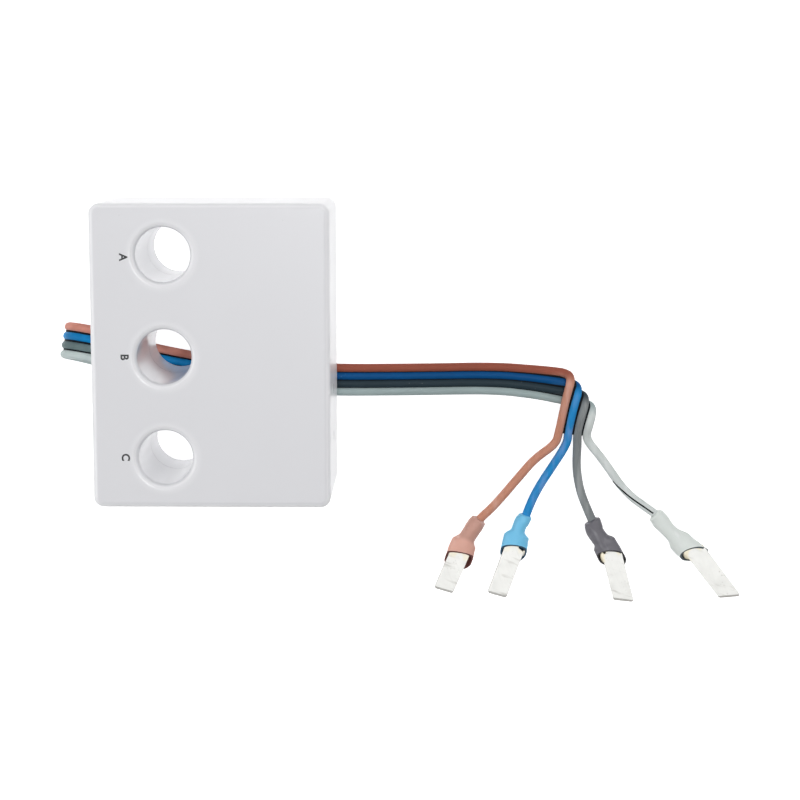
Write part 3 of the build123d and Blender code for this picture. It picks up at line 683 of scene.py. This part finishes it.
# %% Group: fine hairlines
# The noise above which a streak starts, less the share asked for, and where it is full
STREAK_STARTS = 0.72
STREAK_FULL = 0.78
hairlines, entry, leave = new_group(
    "hairlines", {"Scale": 900.0, "Stretch": 14.0, "Turn": 0.6, "Share": 0.25}, {"Mask": "Float"})
where = add(hairlines, "TexCoord")
turned = add(hairlines, "VectorRotate", {"Vector": where.outputs["Object"],
                                         "Angle": entry.outputs["Turn"]}, rotation_type="Z_AXIS")
parts = add(hairlines, "SeparateXYZ", {"Vector": turned.outputs[0]})
short = add(hairlines, "Math", {0: parts.outputs["X"], 1: entry.outputs["Stretch"]}, operation="DIVIDE")
long_way = add(hairlines, "CombineXYZ", {"X": short.outputs[0], "Y": parts.outputs["Y"],
                                         "Z": parts.outputs["Z"]})
lines = add(hairlines, "TexNoise", {"Vector": long_way.outputs[0], "Scale": entry.outputs["Scale"],
                                    "Detail": 2.0})
edge_low = add(hairlines, "Math", {0: STREAK_STARTS, 1: entry.outputs["Share"]}, operation="SUBTRACT")
kept = add(hairlines, "MapRange", {"Value": lines.outputs["Fac"], "From Min": edge_low.outputs[0],
                                   "From Max": STREAK_FULL}, interpolation_type="SMOOTHSTEP")
hairlines.links.new(kept.outputs[0], leave.inputs["Mask"])
print("group", hairlines.name)

# %% [markdown]
# ## Dust
# Dust lies in small round specks, in some places more than in others. Voronoi cells
# give the specks, as the places close to a cell's own point, and a coarse noise says
# where there are any.

# %% Group: dust specks
PATCH_SCALE = 150.0
PATCH_ENDS = (0.52, 0.68)
dust, entry, leave = new_group("dust specks", {"Scale": 700.0, "Size": 0.12}, {"Mask": "Float"})
where = add(dust, "TexCoord")
cells = add(dust, "TexVoronoi", {"Vector": where.outputs["Object"], "Scale": entry.outputs["Scale"]})
patches = add(dust, "TexNoise", {"Vector": where.outputs["Object"], "Scale": PATCH_SCALE})
near = add(dust, "Math", {0: cells.outputs["Distance"], 1: entry.outputs["Size"]}, operation="LESS_THAN")
patchy = add(dust, "MapRange", {"Value": patches.outputs["Fac"], "From Min": PATCH_ENDS[0],
                                "From Max": PATCH_ENDS[1]})
both = add(dust, "Math", {0: near.outputs[0], 1: patchy.outputs[0]}, operation="MULTIPLY")
dust.links.new(both.outputs[0], leave.inputs["Mask"])
print("group", dust.name)

# %% [markdown]
# ## Helpers for masks
# Every recipe below lays colours over one another by masks. A mask is a number from 0
# to 1 at each place, so two of them are joined by multiplying them, for where both
# hold, or by taking the larger one, for where either holds.

# %% Mask helpers


def blended(tree, factor, first, second):
    """One colour over another by a mask: a Mix node has its colours at inputs 6 and 7."""
    mix = add(tree, "Mix", {"Factor": factor}, data_type="RGBA")
    for socket, colour in ((mix.inputs[6], first), (mix.inputs[7], second)):
        if isinstance(colour, bpy.types.NodeSocket):
            tree.links.new(colour, socket)
        else:
            socket.default_value = (*colour, 1.0)
    return mix.outputs[2]


def ramp(tree, value, low, high):
    """0 at one place and 1 at another, eased between them."""
    return add(tree, "MapRange", {"Value": value, "From Min": low, "From Max": high},
               interpolation_type="SMOOTHSTEP").outputs[0]


def product(tree, first, second):
    """Two masks or numbers multiplied."""
    return add(tree, "Math", {0: first, 1: second}, operation="MULTIPLY").outputs[0]


def larger(tree, first, second):
    """The larger of two masks."""
    return add(tree, "Math", {0: first, 1: second}, operation="MAXIMUM").outputs[0]


def levelness(tree):
    """1 where a surface faces straight up or down, and less where it slopes."""
    facing = add(tree, "SeparateXYZ", {"Vector": add(tree, "NewGeometry").outputs["Normal"]})
    return add(tree, "Math", {0: facing.outputs["Z"]}, operation="ABSOLUTE").outputs[0]


def use_group(tree, group, inputs=None):
    """A shared effect, with its numbers."""
    made = add(tree, "Group", node_tree=group)
    for key, value in (inputs or {}).items():
        made.inputs[key].default_value = value
    return made


print("mask helpers ready")

# %% [markdown]
# ## The recipe for moulded plastic
# Most pieces here are moulded plastic in one colour or another. One recipe makes them
# all: the colour drifts a little with the cloudiness, the fine skin makes a slight
# bump, and the roughness varies. Numbers that are the same all over stay on the shader.

# %% Plastic recipe


def new_material(name):
    """An empty material with its output and one Principled shader."""
    material = bpy.data.materials.new(name)
    material.use_nodes = True
    tree = material.node_tree
    tree.nodes.clear()
    shader = add(tree, "BsdfPrincipled")
    output = add(tree, "OutputMaterial")
    tree.links.new(shader.outputs[0], output.inputs["Surface"])
    return material, tree, shader


def skin_bump(tree, shader, surface, strength, depth):
    """The fine skin as a slight relief, so many millimetres deep."""
    relief = add(tree, "Bump", {"Height": surface.outputs["Skin"], "Strength": strength,
                                "Distance": depth * MM})
    tree.links.new(relief.outputs[0], shader.inputs["Normal"])


def plastic(name, colour, drift=0.03, roughness=0.4, bump=0.05, cloud_scale=60.0):
    """Moulded plastic of one colour."""
    material, tree, shader = new_material(name)
    surface = use_group(tree, skin, {"Roughness": roughness, "Skin scale": 2500.0,
                                     "Cloud scale": cloud_scale})
    darker = tuple(c * (1 - drift) for c in colour)
    lighter = tuple(min(1.0, c * (1 + drift)) for c in colour)
    tint = blended(tree, surface.outputs["Cloud"], darker, lighter)
    tree.links.new(tint, shader.inputs["Base Color"])
    tree.links.new(surface.outputs["Roughness"], shader.inputs["Roughness"])
    skin_bump(tree, shader, surface, bump, 0.02)
    return material


def dress(node, material):
    """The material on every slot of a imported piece."""
    mesh = nodes[node].data
    mesh.materials.clear()
    mesh.materials.append(material)


print("plastic recipe ready")

# %% [markdown]
# ## The white box
# The box is white moulded plastic with a soft gloss, cooler than pure white. Light gets
# into its thin walls, so its edges and sides, the rims of its bores and the bores' walls
# look lighter. Subsurface scattering is the usual way to show that, but it darkened these
# narrow rims. So masks find the rims, the sides and the walls instead, and paint the
# light there: a lighter colour, and on the walls a very faint painted glow. The same
# masks draw the seam where the two halves of the case meet inside a bore.

# %% Where the bores are
BORE_PITCH = 17.8
BORE_REACH = 5.9
# Heights between which a bore's wall begins, and distances between which the painted light on its rim
# begins
BORE_DEEP = (13.02, 12.2)
RIM_LIGHT_REACH = (6.8, 5.3)
SEAM_LINE = 0.07
# A painted glow on the bores' walls, for light through the thin walls, and how much more of it near the
# back
PAINTED_GLOW = 0.035
PAINTED_GLOW_DEEP = 0.06
PAINTED_GLOW_BACK = -11


def bore_masks(tree):
    """Masks for the bores' walls, for the seam there and for the painted light on the rims, and the
    walls' painted glow.

    The three bores are one pitch apart, so Y is wrapped to the nearest of them.
    """
    parts = add(tree, "SeparateXYZ", {"Vector": add(tree, "TexCoord").outputs["Object"]})
    half = BORE_PITCH / 2 * MM
    nearest = add(tree, "Math", {0: parts.outputs["Y"], 1: half, 2: -half}, operation="WRAP")
    flat = add(tree, "CombineXYZ", {"X": parts.outputs["X"], "Y": nearest.outputs[0]})
    away = add(tree, "VectorMath", {0: flat.outputs[0]}, operation="LENGTH")
    within = add(tree, "Math", {0: away.outputs["Value"], 1: BORE_REACH * MM},
                 operation="LESS_THAN").outputs[0]
    shallow, deep = BORE_DEEP
    inside = product(tree, within, ramp(tree, parts.outputs["Z"], shallow * MM, deep * MM))
    seam = add(tree, "Math", {0: parts.outputs["Z"], 1: SEAM * MM, 2: SEAM_LINE * MM},
               operation="COMPARE")
    painted_rim_light = ramp(tree, away.outputs["Value"], RIM_LIGHT_REACH[0] * MM, RIM_LIGHT_REACH[1] * MM)
    deeper = ramp(tree, parts.outputs["Z"], (SEAM + 0.5) * MM, PAINTED_GLOW_BACK * MM)
    painted_wall_glow = add(tree, "Math", {0: deeper, 1: PAINTED_GLOW_DEEP, 2: PAINTED_GLOW}, operation="MULTIPLY_ADD").outputs[0]
    return inside, product(tree, within, seam.outputs[0]), painted_rim_light, product(tree, inside, painted_wall_glow)


print("bores every", BORE_PITCH, "mm")

# %% White plastic
WHITE = (0.79, 0.79, 0.812)
BORE_PAINTED_LIGHT = (0.84, 0.84, 0.86)
EDGE_PAINTED_LIGHT = (0.94, 0.94, 0.955)
WALL_PAINTED_GLOW = (0.93, 0.94, 1.0, 1)
SPECK_GREY = (0.45, 0.45, 0.46)
SEAM_GREY = (0.42, 0.42, 0.46)
# How level a surface still lies where painted light starts on the sides and rounded edges, and where it
# is full
PAINTED_SIDE_LIGHT = (0.995, 0.86)


def white_case(name):
    """White moulded plastic with painted light on its edges, sides and rims and in its bores, and a
    faint painted glow on the bores' walls.
    """
    material, tree, shader = new_material(name)
    surface = use_group(tree, skin, {"Roughness": 0.3, "Skin scale": 1800.0, "Cloud scale": 60.0})
    specks = use_group(tree, dust, {"Scale": 260.0, "Size": 0.035})
    inside, seam, painted_rim_light, painted_wall_glow = bore_masks(tree)
    # A painted glow on the bores' walls
    shader.inputs["Emission Color"].default_value = WALL_PAINTED_GLOW
    tree.links.new(painted_wall_glow, shader.inputs["Emission Strength"])
    tint = blended(tree, surface.outputs["Cloud"], tuple(c * 0.985 for c in WHITE), WHITE)
    # Painted light: a lighter colour on the bores' rims, the sides and the rounded edges
    painted_light_mask = larger(tree, product(tree, painted_rim_light, 0.5), ramp(tree, levelness(tree), *PAINTED_SIDE_LIGHT))
    painted_edges = blended(tree, product(tree, painted_light_mask, 0.85), tint, EDGE_PAINTED_LIGHT)
    # Painted light on the bores' walls
    lighter = blended(tree, inside, painted_edges, BORE_PAINTED_LIGHT)
    speck = product(tree, specks.outputs["Mask"], 0.25)
    specked = blended(tree, speck, lighter, SPECK_GREY)
    tree.links.new(blended(tree, seam, specked, SEAM_GREY), shader.inputs["Base Color"])
    polished = add(tree, "Math", {0: inside, 1: -0.12, 2: surface.outputs["Roughness"]},
                   operation="MULTIPLY_ADD")
    tree.links.new(polished.outputs[0], shader.inputs["Roughness"])
    skin_bump(tree, shader, surface, 0.04, 0.02)
    return material


white_plastic = white_case("white plastic")
for node in ("front_housing", "rear_cover"):
    dress(node, white_plastic)
dress("push_button", plastic("button plastic", (0.74, 0.74, 0.76), drift=0.02, roughness=0.35))
print("box dressed")

# %% [markdown]
# ## Insulation of the cores
# The cores are soft plastic. Along the ribbon each colour is deep. Past the fold the
# cores lie apart and catch more light, so a paler colour is painted there as painted
# light, and pale streaks as painted highlights. Two curves with a material each would
# show a joint between them, so one material tells the stretches apart by the place on
# the surface.

# %% Where a core has passed the fold
# Where the painted lighter colour past the fold begins
PAINTED_PALE_X = 62.0
TAIL_Y = -17.5
FADE_Y = 2.5


def past_the_fold(tree, parts, turn_y):
    """A mask that is 1 where a core has passed the fold, where lighter colour is painted."""
    below = ramp(tree, parts.outputs["Y"], turn_y * MM, (turn_y - FADE_Y) * MM)
    right = ramp(tree, parts.outputs["X"], (PAINTED_PALE_X - 2) * MM, PAINTED_PALE_X * MM)
    tail = ramp(tree, parts.outputs["Y"], TAIL_Y * MM, (TAIL_Y - 1) * MM)
    return product(tree, below, larger(tree, right, tail))


print("handled from x", PAINTED_PALE_X, "mm on")

# %% [markdown]
# ## The insulation's recipe
# Three colours are blended by where the place lies: deep in the ribbon; bright at the
# loop and under the middle bore, which is painted light for the light that falls there;
# and pale past the fold, painted light as well. Such colours could be painted on by hand,
# but a mask from the place keeps to the real sizes.

# %% Insulation recipe
LOOP_X = -13.0
# The stretch under the middle bore that gets painted light, from its faded ends to its full middle
UNDER_BORE = (8, 6)
# How strong the painted highlight streaks are
SHEEN_STREAKS = 0.5


def insulation(name, deep, pale, sheen_and_dust, loop, turn_y):
    """Soft plastic that is deep in the ribbon, with painted light past the fold, at the loop and under
    the middle bore, and painted highlight streaks past the fold.
    """
    material, tree, shader = new_material(name)
    surface = use_group(tree, skin, {"Roughness": 0.5, "Skin scale": 1400.0, "Cloud scale": 260.0,
                                     "Spread": 0.16})
    sheen_and_wear_streaks = use_group(tree, hairlines, {"Scale": 620.0, "Stretch": 7.0, "Turn": math.pi / 2,
                                         "Share": 0.26})
    specks = use_group(tree, dust, {"Scale": 900.0, "Size": 0.1})
    parts = add(tree, "SeparateXYZ", {"Vector": add(tree, "TexCoord").outputs["Object"]})
    past = past_the_fold(tree, parts, turn_y)
    at_loop = ramp(tree, parts.outputs["X"], (LOOP_X + 1) * MM, (LOOP_X - 1) * MM)
    sideways = add(tree, "Math", {0: parts.outputs["X"]}, operation="ABSOLUTE").outputs[0]
    under_bore = ramp(tree, sideways, UNDER_BORE[0] * MM, UNDER_BORE[1] * MM)
    # Painted light at the loop and under the middle bore
    lit = larger(tree, at_loop, under_bore)
    body = blended(tree, past, blended(tree, lit, deep, loop), pale)
    darker = blended(tree, past, tuple(c * 0.8 for c in deep), tuple(c * 0.84 for c in pale))
    clouded = blended(tree, surface.outputs["Cloud"], darker, body)
    # Painted highlight streaks past the fold
    faint = product(tree, product(tree, sheen_and_wear_streaks.outputs["Mask"], past), SHEEN_STREAKS)
    streaked = blended(tree, faint, clouded, sheen_and_dust)
    # Dust specks, in the same pale colour as the streaks
    dusty = product(tree, specks.outputs["Mask"], 0.3)
    tree.links.new(blended(tree, dusty, streaked, sheen_and_dust), shader.inputs["Base Color"])
    tree.links.new(surface.outputs["Roughness"], shader.inputs["Roughness"])
    shader.inputs["Specular IOR Level"].default_value = 0.12
    skin_bump(tree, shader, surface, 0.12, 0.03)
    return material


# Deep colour, paler colour painted past the fold as painted light, colour of the painted highlight
# streaks and of the dust, painted lighter colour at the loop and under the middle bore, and where the
# core turns
INSULATION = {
    "brown": ((0.38, 0.105, 0.066), (0.70, 0.32, 0.215), (0.80, 0.50, 0.42), (0.97, 0.44, 0.35), -5.5),
    "blue": ((0.002, 0.092, 0.29), (0.025, 0.31, 0.72), (0.34, 0.46, 0.84), (0.012, 0.42, 0.95), -7.5),
    "black": ((0.026, 0.045, 0.058), (0.26, 0.28, 0.285), (0.55, 0.57, 0.57), (0.23, 0.32, 0.32), -9.5),
    "grey": ((0.44, 0.54, 0.54), (0.78, 0.83, 0.81), (0.90, 0.93, 0.92), (0.78, 0.87, 0.85), -11.5),
}
for colour in COLOURS:
    flex[colour].data.materials.append(insulation("insulation " + colour, *INSULATION[colour]))
# Near-black for the webs: painted shade in the grooves between the cores. The dark strip on the grey
# core takes it too.
groove_shade_and_strip_black = plastic("web plastic", (0.006, 0.008, 0.011), drift=0.3, roughness=0.6)
groove_shade_and_strip_black.node_tree.nodes["Principled BSDF"].inputs["Specular IOR Level"].default_value = 0.05
for web in webs:
    web.data.materials.append(groove_shade_and_strip_black)
print("cores dressed")

# %% [markdown]
# ## The finish of the sleeves
# Shrunk sleeve is slightly waxy, with a soft broken gloss over its crinkles and pale
# spots where it was rubbed. The neck shrank the most, so its colour is the densest. A
# second material could cover the neck, but the change is gradual, so the distance from
# the mouth shades one colour into the other.

# %% Sleeve finish
BELL_SHADE_ENDS = (3.6, 4.6)


def shrunk(core, colour, pale, neck_shade):
    """Heat-shrink sleeve, with pale rubbed spots; the neck, shrunk the most, is darker."""
    material, tree, shader = new_material("shrink " + core)
    surface = use_group(tree, skin, {"Roughness": 0.42, "Skin scale": 900.0, "Cloud scale": 420.0,
                                     "Spread": 0.2})
    sheen_and_wear_streaks = use_group(tree, hairlines, {"Scale": 700.0, "Stretch": 3.0, "Turn": 1.1, "Share": 0.16})
    place = add(tree, "TexCoord").outputs["Object"]
    mouth = tuple(MIDDLE_LINES[core][-1] * MM)
    away = add(tree, "VectorMath", {0: place, 1: mouth}, operation="DISTANCE").outputs["Value"]
    in_neck = ramp(tree, away, BELL_SHADE_ENDS[0] * MM, BELL_SHADE_ENDS[1] * MM)
    shaded = blended(tree, in_neck, colour, tuple(c * neck_shade for c in colour))
    cloudy = product(tree, surface.outputs["Cloud"], 0.3)
    body = blended(tree, cloudy, shaded, tuple(c * 0.8 for c in colour))
    faint = product(tree, sheen_and_wear_streaks.outputs["Mask"], 0.5)
    tree.links.new(blended(tree, faint, body, pale), shader.inputs["Base Color"])
    tree.links.new(surface.outputs["Roughness"], shader.inputs["Roughness"])
    skin_bump(tree, shader, surface, 0.25, 0.05)
    return material


# The colour, the colour of the rubbed spots, and the shade of the neck
SLEEVE_COLOURS = {
    "brown": ((0.80, 0.43, 0.34), (0.85, 0.62, 0.56), 0.74),
    "blue": ((0.19, 0.63, 0.95), (0.45, 0.78, 0.97), 0.98),
    "black": ((0.145, 0.14, 0.16), (0.30, 0.30, 0.32), 0.95),
    "grey": ((0.84, 0.89, 0.85), (0.90, 0.93, 0.92), 0.98),
}
# A dark painted shade for the inside of each sleeve and the rim of its lip, where shadow falls
SLEEVE_INSIDE_SHADE = {
    "brown": (0.12, 0.035, 0.03),
    "blue": (0.008, 0.05, 0.10),
    "black": (0.008, 0.008, 0.01),
    "grey": (0.07, 0.09, 0.10),
}
for colour in COLOURS:
    shrink[colour].data.materials.append(shrunk(colour, *SLEEVE_COLOURS[colour]))
    # The second material: the painted shade inside the sleeve and on its lip's rim
    inside = plastic("inside " + colour, SLEEVE_INSIDE_SHADE[colour], drift=0.15, roughness=0.55)
    shrink[colour].data.materials.append(inside)
print("sleeves dressed")

# %% [markdown]
# ## Tinned metal
# The blades are copper with a coat of tin: bright, a little warm, with fine scratches
# and shallow pits. Metal has no colour of its own but what it reflects, so a plain grey
# would look like paint. The shader's own metal is used, and its roughness does most of
# the work.

# %% Tinned metal


def tinned(name, colour, roughness):
    """Metal under a coat of tin, with scratches and pits."""
    material, tree, shader = new_material(name)
    surface = use_group(tree, skin, {"Roughness": roughness, "Skin scale": 1500.0, "Cloud scale": 600.0,
                                     "Spread": 0.3})
    scratches = use_group(tree, hairlines, {"Scale": 2600.0, "Stretch": 22.0, "Turn": 1.2,
                                            "Share": 0.22})
    darker = tuple(c * 0.8 for c in colour)
    tint = blended(tree, surface.outputs["Cloud"], darker, colour)
    faint = product(tree, scratches.outputs["Mask"], 0.35)
    tree.links.new(blended(tree, faint, tint, darker), shader.inputs["Base Color"])
    shader.inputs["Metallic"].default_value = 1.0
    tree.links.new(surface.outputs["Roughness"], shader.inputs["Roughness"])
    skin_bump(tree, shader, surface, 0.25, 0.03)
    return material


print("recipe for tinned metal ready")

# %% [markdown]
# ## The finish of the blades
# A blade isn't the same all over. Its sides and cut edges are darker, a painted shade for
# the shaded floor that they reflect; pits and strokes mark the flats, and the heat of
# soldering left some yellow at the root. Each of these could be a patch with a material
# of its own, but they fade into one another, so masks lay them over one recipe. Solder is
# mostly tin too, so the beads take the same finish.

# %% Blade finish
BLADE_TIN = (0.62, 0.62, 0.60)
# Painted shade for the sides and cut edges, which reflect the shaded floor
BLADE_SIDE_SHADE = (0.28, 0.27, 0.25)
BLADE_MARK = (0.30, 0.29, 0.27)
BLADE_ROOT = (0.60, 0.50, 0.25)
# How strong the yellow is, and how far from the middle of the mouth it begins
ROOT_TINTS = {"brown": 0.3, "blue": 0.2, "black": 0.4, "grey": 0.4}
ROOT_NEAR = {"brown": 0.7, "blue": 0.75, "black": 1.2, "grey": 1.1}
ROOT_FADE = 0.35


def blade_metal(colour):
    """Tin with painted shade on its sides and cut edges, and a little yellow where it was heated, at its
    root.
    """
    material = tinned("blade " + colour, BLADE_TIN, 0.45)
    tree = material.node_tree
    shader = tree.nodes["Principled BSDF"]
    body = shader.inputs["Base Color"].links[0].from_socket
    pits = use_group(tree, dust, {"Scale": 1500.0, "Size": 0.2})
    strokes = use_group(tree, hairlines, {"Scale": 1100.0, "Stretch": 5.0, "Turn": 0.35, "Share": 0.13})
    marks = larger(tree, pits.outputs["Mask"], strokes.outputs["Mask"])
    marked = blended(tree, product(tree, marks, 0.6), body, BLADE_MARK)
    # Painted shade where the blade's faces slope: its sides and cut edges
    painted_edges = blended(tree, ramp(tree, levelness(tree), 0.96, 0.72), marked, BLADE_SIDE_SHADE)
    place = add(tree, "TexCoord").outputs["Object"]
    mouth, way = along_sleeve(colour, SLEEVE_LENGTHS[colour])
    offset = add(tree, "VectorMath", {0: place, 1: tuple(mouth * MM)}, operation="SUBTRACT").outputs[0]
    away = add(tree, "VectorMath", {0: offset}, operation="LENGTH").outputs["Value"]
    ahead = add(tree, "VectorMath", {0: offset, 1: tuple(way)}, operation="DOT_PRODUCT").outputs["Value"]
    near = ramp(tree, away, ROOT_NEAR[colour] * MM, (ROOT_NEAR[colour] + ROOT_FADE) * MM)
    warm = product(tree, product(tree, near, ramp(tree, ahead, 0.6 * MM, -0.2 * MM)), ROOT_TINTS[colour])
    tree.links.new(blended(tree, warm, painted_edges, BLADE_ROOT), shader.inputs["Base Color"])
    return material


for colour in COLOURS:
    tabs[colour].data.materials.append(blade_metal(colour))
print("blades dressed")

# %% [markdown]
# ## Letters beside the bores
# Each bore has the letter of its phase beside it, printed in dark ink and turned a
# quarter clockwise. Ink could be a mask on the case's material, but letters are hard to
# build from masks. Blender's own text makes the outlines, an offset makes them bolder,
# and a mesh of them is laid a hair above the face.

# %% Letters
LETTER_HEIGHT = 1.36
LETTER_NARROW = 0.96
LETTER_WEIGHT = 0.06
# A capital's height as a share of the text's size
CAPITAL_SHARE = 0.7
FRONT = 13.0
INK_LIFT = 0.008
LETTERS = {"A": (-6.70, 17.43), "B": (-6.78, -0.03), "C": (-6.90, -17.70)}


def letter_piece(letter, x, y):
    """A letter as a thin mesh, centred beside its bore and turned clockwise."""
    text = bpy.data.curves.new("text_" + letter, "FONT")
    text.body = letter
    text.size = LETTER_HEIGHT * MM / CAPITAL_SHARE
    text.offset = LETTER_WEIGHT * MM
    text.resolution_u = 12
    source = bpy.data.objects.new("text_" + letter, text)
    scene.collection.objects.link(source)
    bpy.context.view_layer.update()
    finished = source.evaluated_get(bpy.context.evaluated_depsgraph_get())
    mesh = bpy.data.meshes.new_from_object(finished)
    bpy.data.objects.remove(source)
    xs = [v.co.x for v in mesh.vertices]
    ys = [v.co.y for v in mesh.vertices]
    middle = Vector(((min(xs) + max(xs)) / 2, (min(ys) + max(ys)) / 2, 0))
    mesh.transform(Matrix.Translation(-middle))
    mesh.transform(Matrix.Scale(LETTER_NARROW, 4, (1, 0, 0)))
    mesh.transform(Matrix.Rotation(-math.pi / 2, 4, "Z"))
    mesh.transform(Matrix.Translation(Vector((x, y, FRONT + INK_LIFT)) * MM))
    piece = bpy.data.objects.new("letter_" + letter, mesh)
    scene.collection.objects.link(piece)
    print("letter", letter, "is", round((max(ys) - min(ys)) / MM, 2), "mm high")
    return piece


ink = plastic("printed ink", (0.012, 0.012, 0.015), drift=0.1, roughness=0.5, cloud_scale=900.0)
for letter, (x, y) in LETTERS.items():
    piece = letter_piece(letter, x, y)
    piece.data.materials.append(ink)
    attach(piece, "case")

# %% [markdown]
# ## Pieces that the box hides
# The board, the rings and the supply parts are sealed in the box, and only the end of
# the light guide shows, in the right side. One grey for all of them would do for a
# picture, but each gets a finish of its own kind, so that the model still looks right
# when it is opened.

# %% Finishes of the inner pieces
black_plastic = plastic("black plastic", (0.02, 0.02, 0.022), drift=0.2, roughness=0.5)
green_board = plastic("circuit board", (0.015, 0.12, 0.05), drift=0.2, roughness=0.35, cloud_scale=400.0)
ferrite = plastic("ferrite", (0.045, 0.045, 0.05), drift=0.25, roughness=0.7, bump=0.3)
ceramic = plastic("ceramic", (0.72, 0.69, 0.62), drift=0.05, roughness=0.55)
coat = plastic("varistor coat", (0.03, 0.14, 0.42), drift=0.12, roughness=0.4)
clear = plastic("light guide", (0.82, 0.84, 0.86), drift=0.03, roughness=0.25)
copper = tinned("copper wire", (0.75, 0.32, 0.14), 0.35)
core_steel = tinned("ring core", (0.36, 0.36, 0.37), 0.45)
can_metal = tinned("capacitor can", (0.7, 0.7, 0.72), 0.3)
tin = tinned("tinned steel", (0.8, 0.8, 0.78), 0.3)
INNER = {
    black_plastic: ["switch_body", "switch_plunger", "board_header", "wire_clamp", "ct_carrier",
                    "bridge_rectifier", "metering_chip", "divider_resistors"],
    green_board: ["main_board", "radio_board"],
    ferrite: ["transformer_core", "filter_inductor"],
    ceramic: ["antenna", "input_resistors"],
    coat: ["varistors"],
    clear: ["light_pipe", "status_light"],
    copper: ["ct_winding_a", "ct_winding_b", "ct_winding_c", "transformer_winding"],
    core_steel: ["ct_core_a", "ct_core_b", "ct_core_c"],
    can_metal: ["bulk_capacitors", "output_capacitor"],
    tin: ["radio_shield", "crystal", "solder_lugs"],
}
for material, members in INNER.items():
    for node in members:
        dress(node, material)
print("inner pieces dressed:", sum(len(members) for members in INNER.values()))

# %% [markdown]
# ## The floor
# The photograph has a plain white ground. A white background alone would leave the cord
# floating, so there is a pale matt floor that keeps its shadow. A little light of its
# own, seen only by the camera and in reflections, lifts the floor to white.

# %% Floor
FLOOR_HALF = 1.5
FLOOR_GREY = (0.86, 0.86, 0.86, 1)
FLOOR_GLOW = 0.8


def seen_directly(tree):
    """1 for camera, glossy and transmission rays, so that all of them meet white."""
    path = add(tree, "LightPath")
    first = larger(tree, path.outputs["Is Camera Ray"], path.outputs["Is Glossy Ray"])
    return larger(tree, first, path.outputs["Is Transmission Ray"])


floor_mesh = bpy.data.meshes.new("floor")
corners = [(x * FLOOR_HALF, y * FLOOR_HALF, FLOOR * MM) for x, y in [(-1, -1), (1, -1), (1, 1), (-1, 1)]]
floor_mesh.from_pydata(corners, [], [(0, 1, 2, 3)])
floor = bpy.data.objects.new("floor", floor_mesh)
scene.collection.objects.link(floor)
floor_material, tree, shader = new_material("floor")
shader.inputs["Base Color"].default_value = FLOOR_GREY
shader.inputs["Roughness"].default_value = 0.9
shader.inputs["Emission Color"].default_value = (1, 1, 1, 1)
tree.links.new(product(tree, seen_directly(tree), FLOOR_GLOW), shader.inputs["Emission Strength"])
floor_mesh.materials.append(floor_material)
print("floor at", FLOOR, "mm")

# %% [markdown]
# ## The world
# The world has two jobs: it fills the shadows with a weak cool light, and it is the
# white that the camera sees behind the object. One strength can't do both, so a mix
# gives each kind of ray its own background.

# %% World
FILL_LIGHT = 0.17
world = bpy.data.worlds.new("studio")
world.use_nodes = True
scene.world = world
tree = world.node_tree
tree.nodes.clear()
fill = add(tree, "Background", {"Color": (0.96, 0.97, 1.0, 1), "Strength": FILL_LIGHT})
white = add(tree, "Background", {"Color": (1, 1, 1, 1), "Strength": 1.0})
either = add(tree, "MixShader", {0: seen_directly(tree), 1: fill.outputs[0], 2: white.outputs[0]})
sky = add(tree, "OutputWorld")
tree.links.new(either.outputs[0], sky.inputs["Surface"])
print("world fill", FILL_LIGHT)

# %% [markdown]
# ## Lamps
# The light in the photograph is soft, and comes from above and from all round. A sun
# would give hard shadows, so there are five square lamps. The strongest stands
# overhead, off to one side, so that the flat blades don't mirror it into the camera.

# %% Lamps
LAMP_AIM = Vector((0.035, -0.01, 0.0))
# The place, the size and the power of each lamp
LAMPS = {
    "lamp_top": ((0.05, 0.48, 0.36), 0.35, 0.26),
    "lamp_right": ((0.54, 0.08, 0.36), 0.35, 0.42),
    "lamp_left": ((-0.45, -0.02, 0.32), 0.35, 1.15),
    "lamp_over": ((0.09, 0.10, 0.90), 0.20, 2.20),
    "lamp_upper_right": ((0.34, 0.30, 0.75), 0.35, 1.10),
}


def soft_lamp(name, place, size, power):
    """A square lamp that faces the object."""
    data = bpy.data.lights.new(name, "AREA")
    data.size = size
    data.energy = power
    lamp = bpy.data.objects.new(name, data)
    lamp.location = place
    aim = LAMP_AIM - lamp.location
    lamp.rotation_euler = aim.to_track_quat("-Z", "Y").to_euler()
    scene.collection.objects.link(lamp)


for name, (place, size, power) in LAMPS.items():
    soft_lamp(name, place, size, power)

# %% [markdown]
# ## The imported box
# The box of the imported model is printed at the end. The dressed model has to stay
# inside the box of the imported one.

# %% Sizes, and the end
print("packed box", [[round(v, 4) for v in corner] for corner in cad_box])
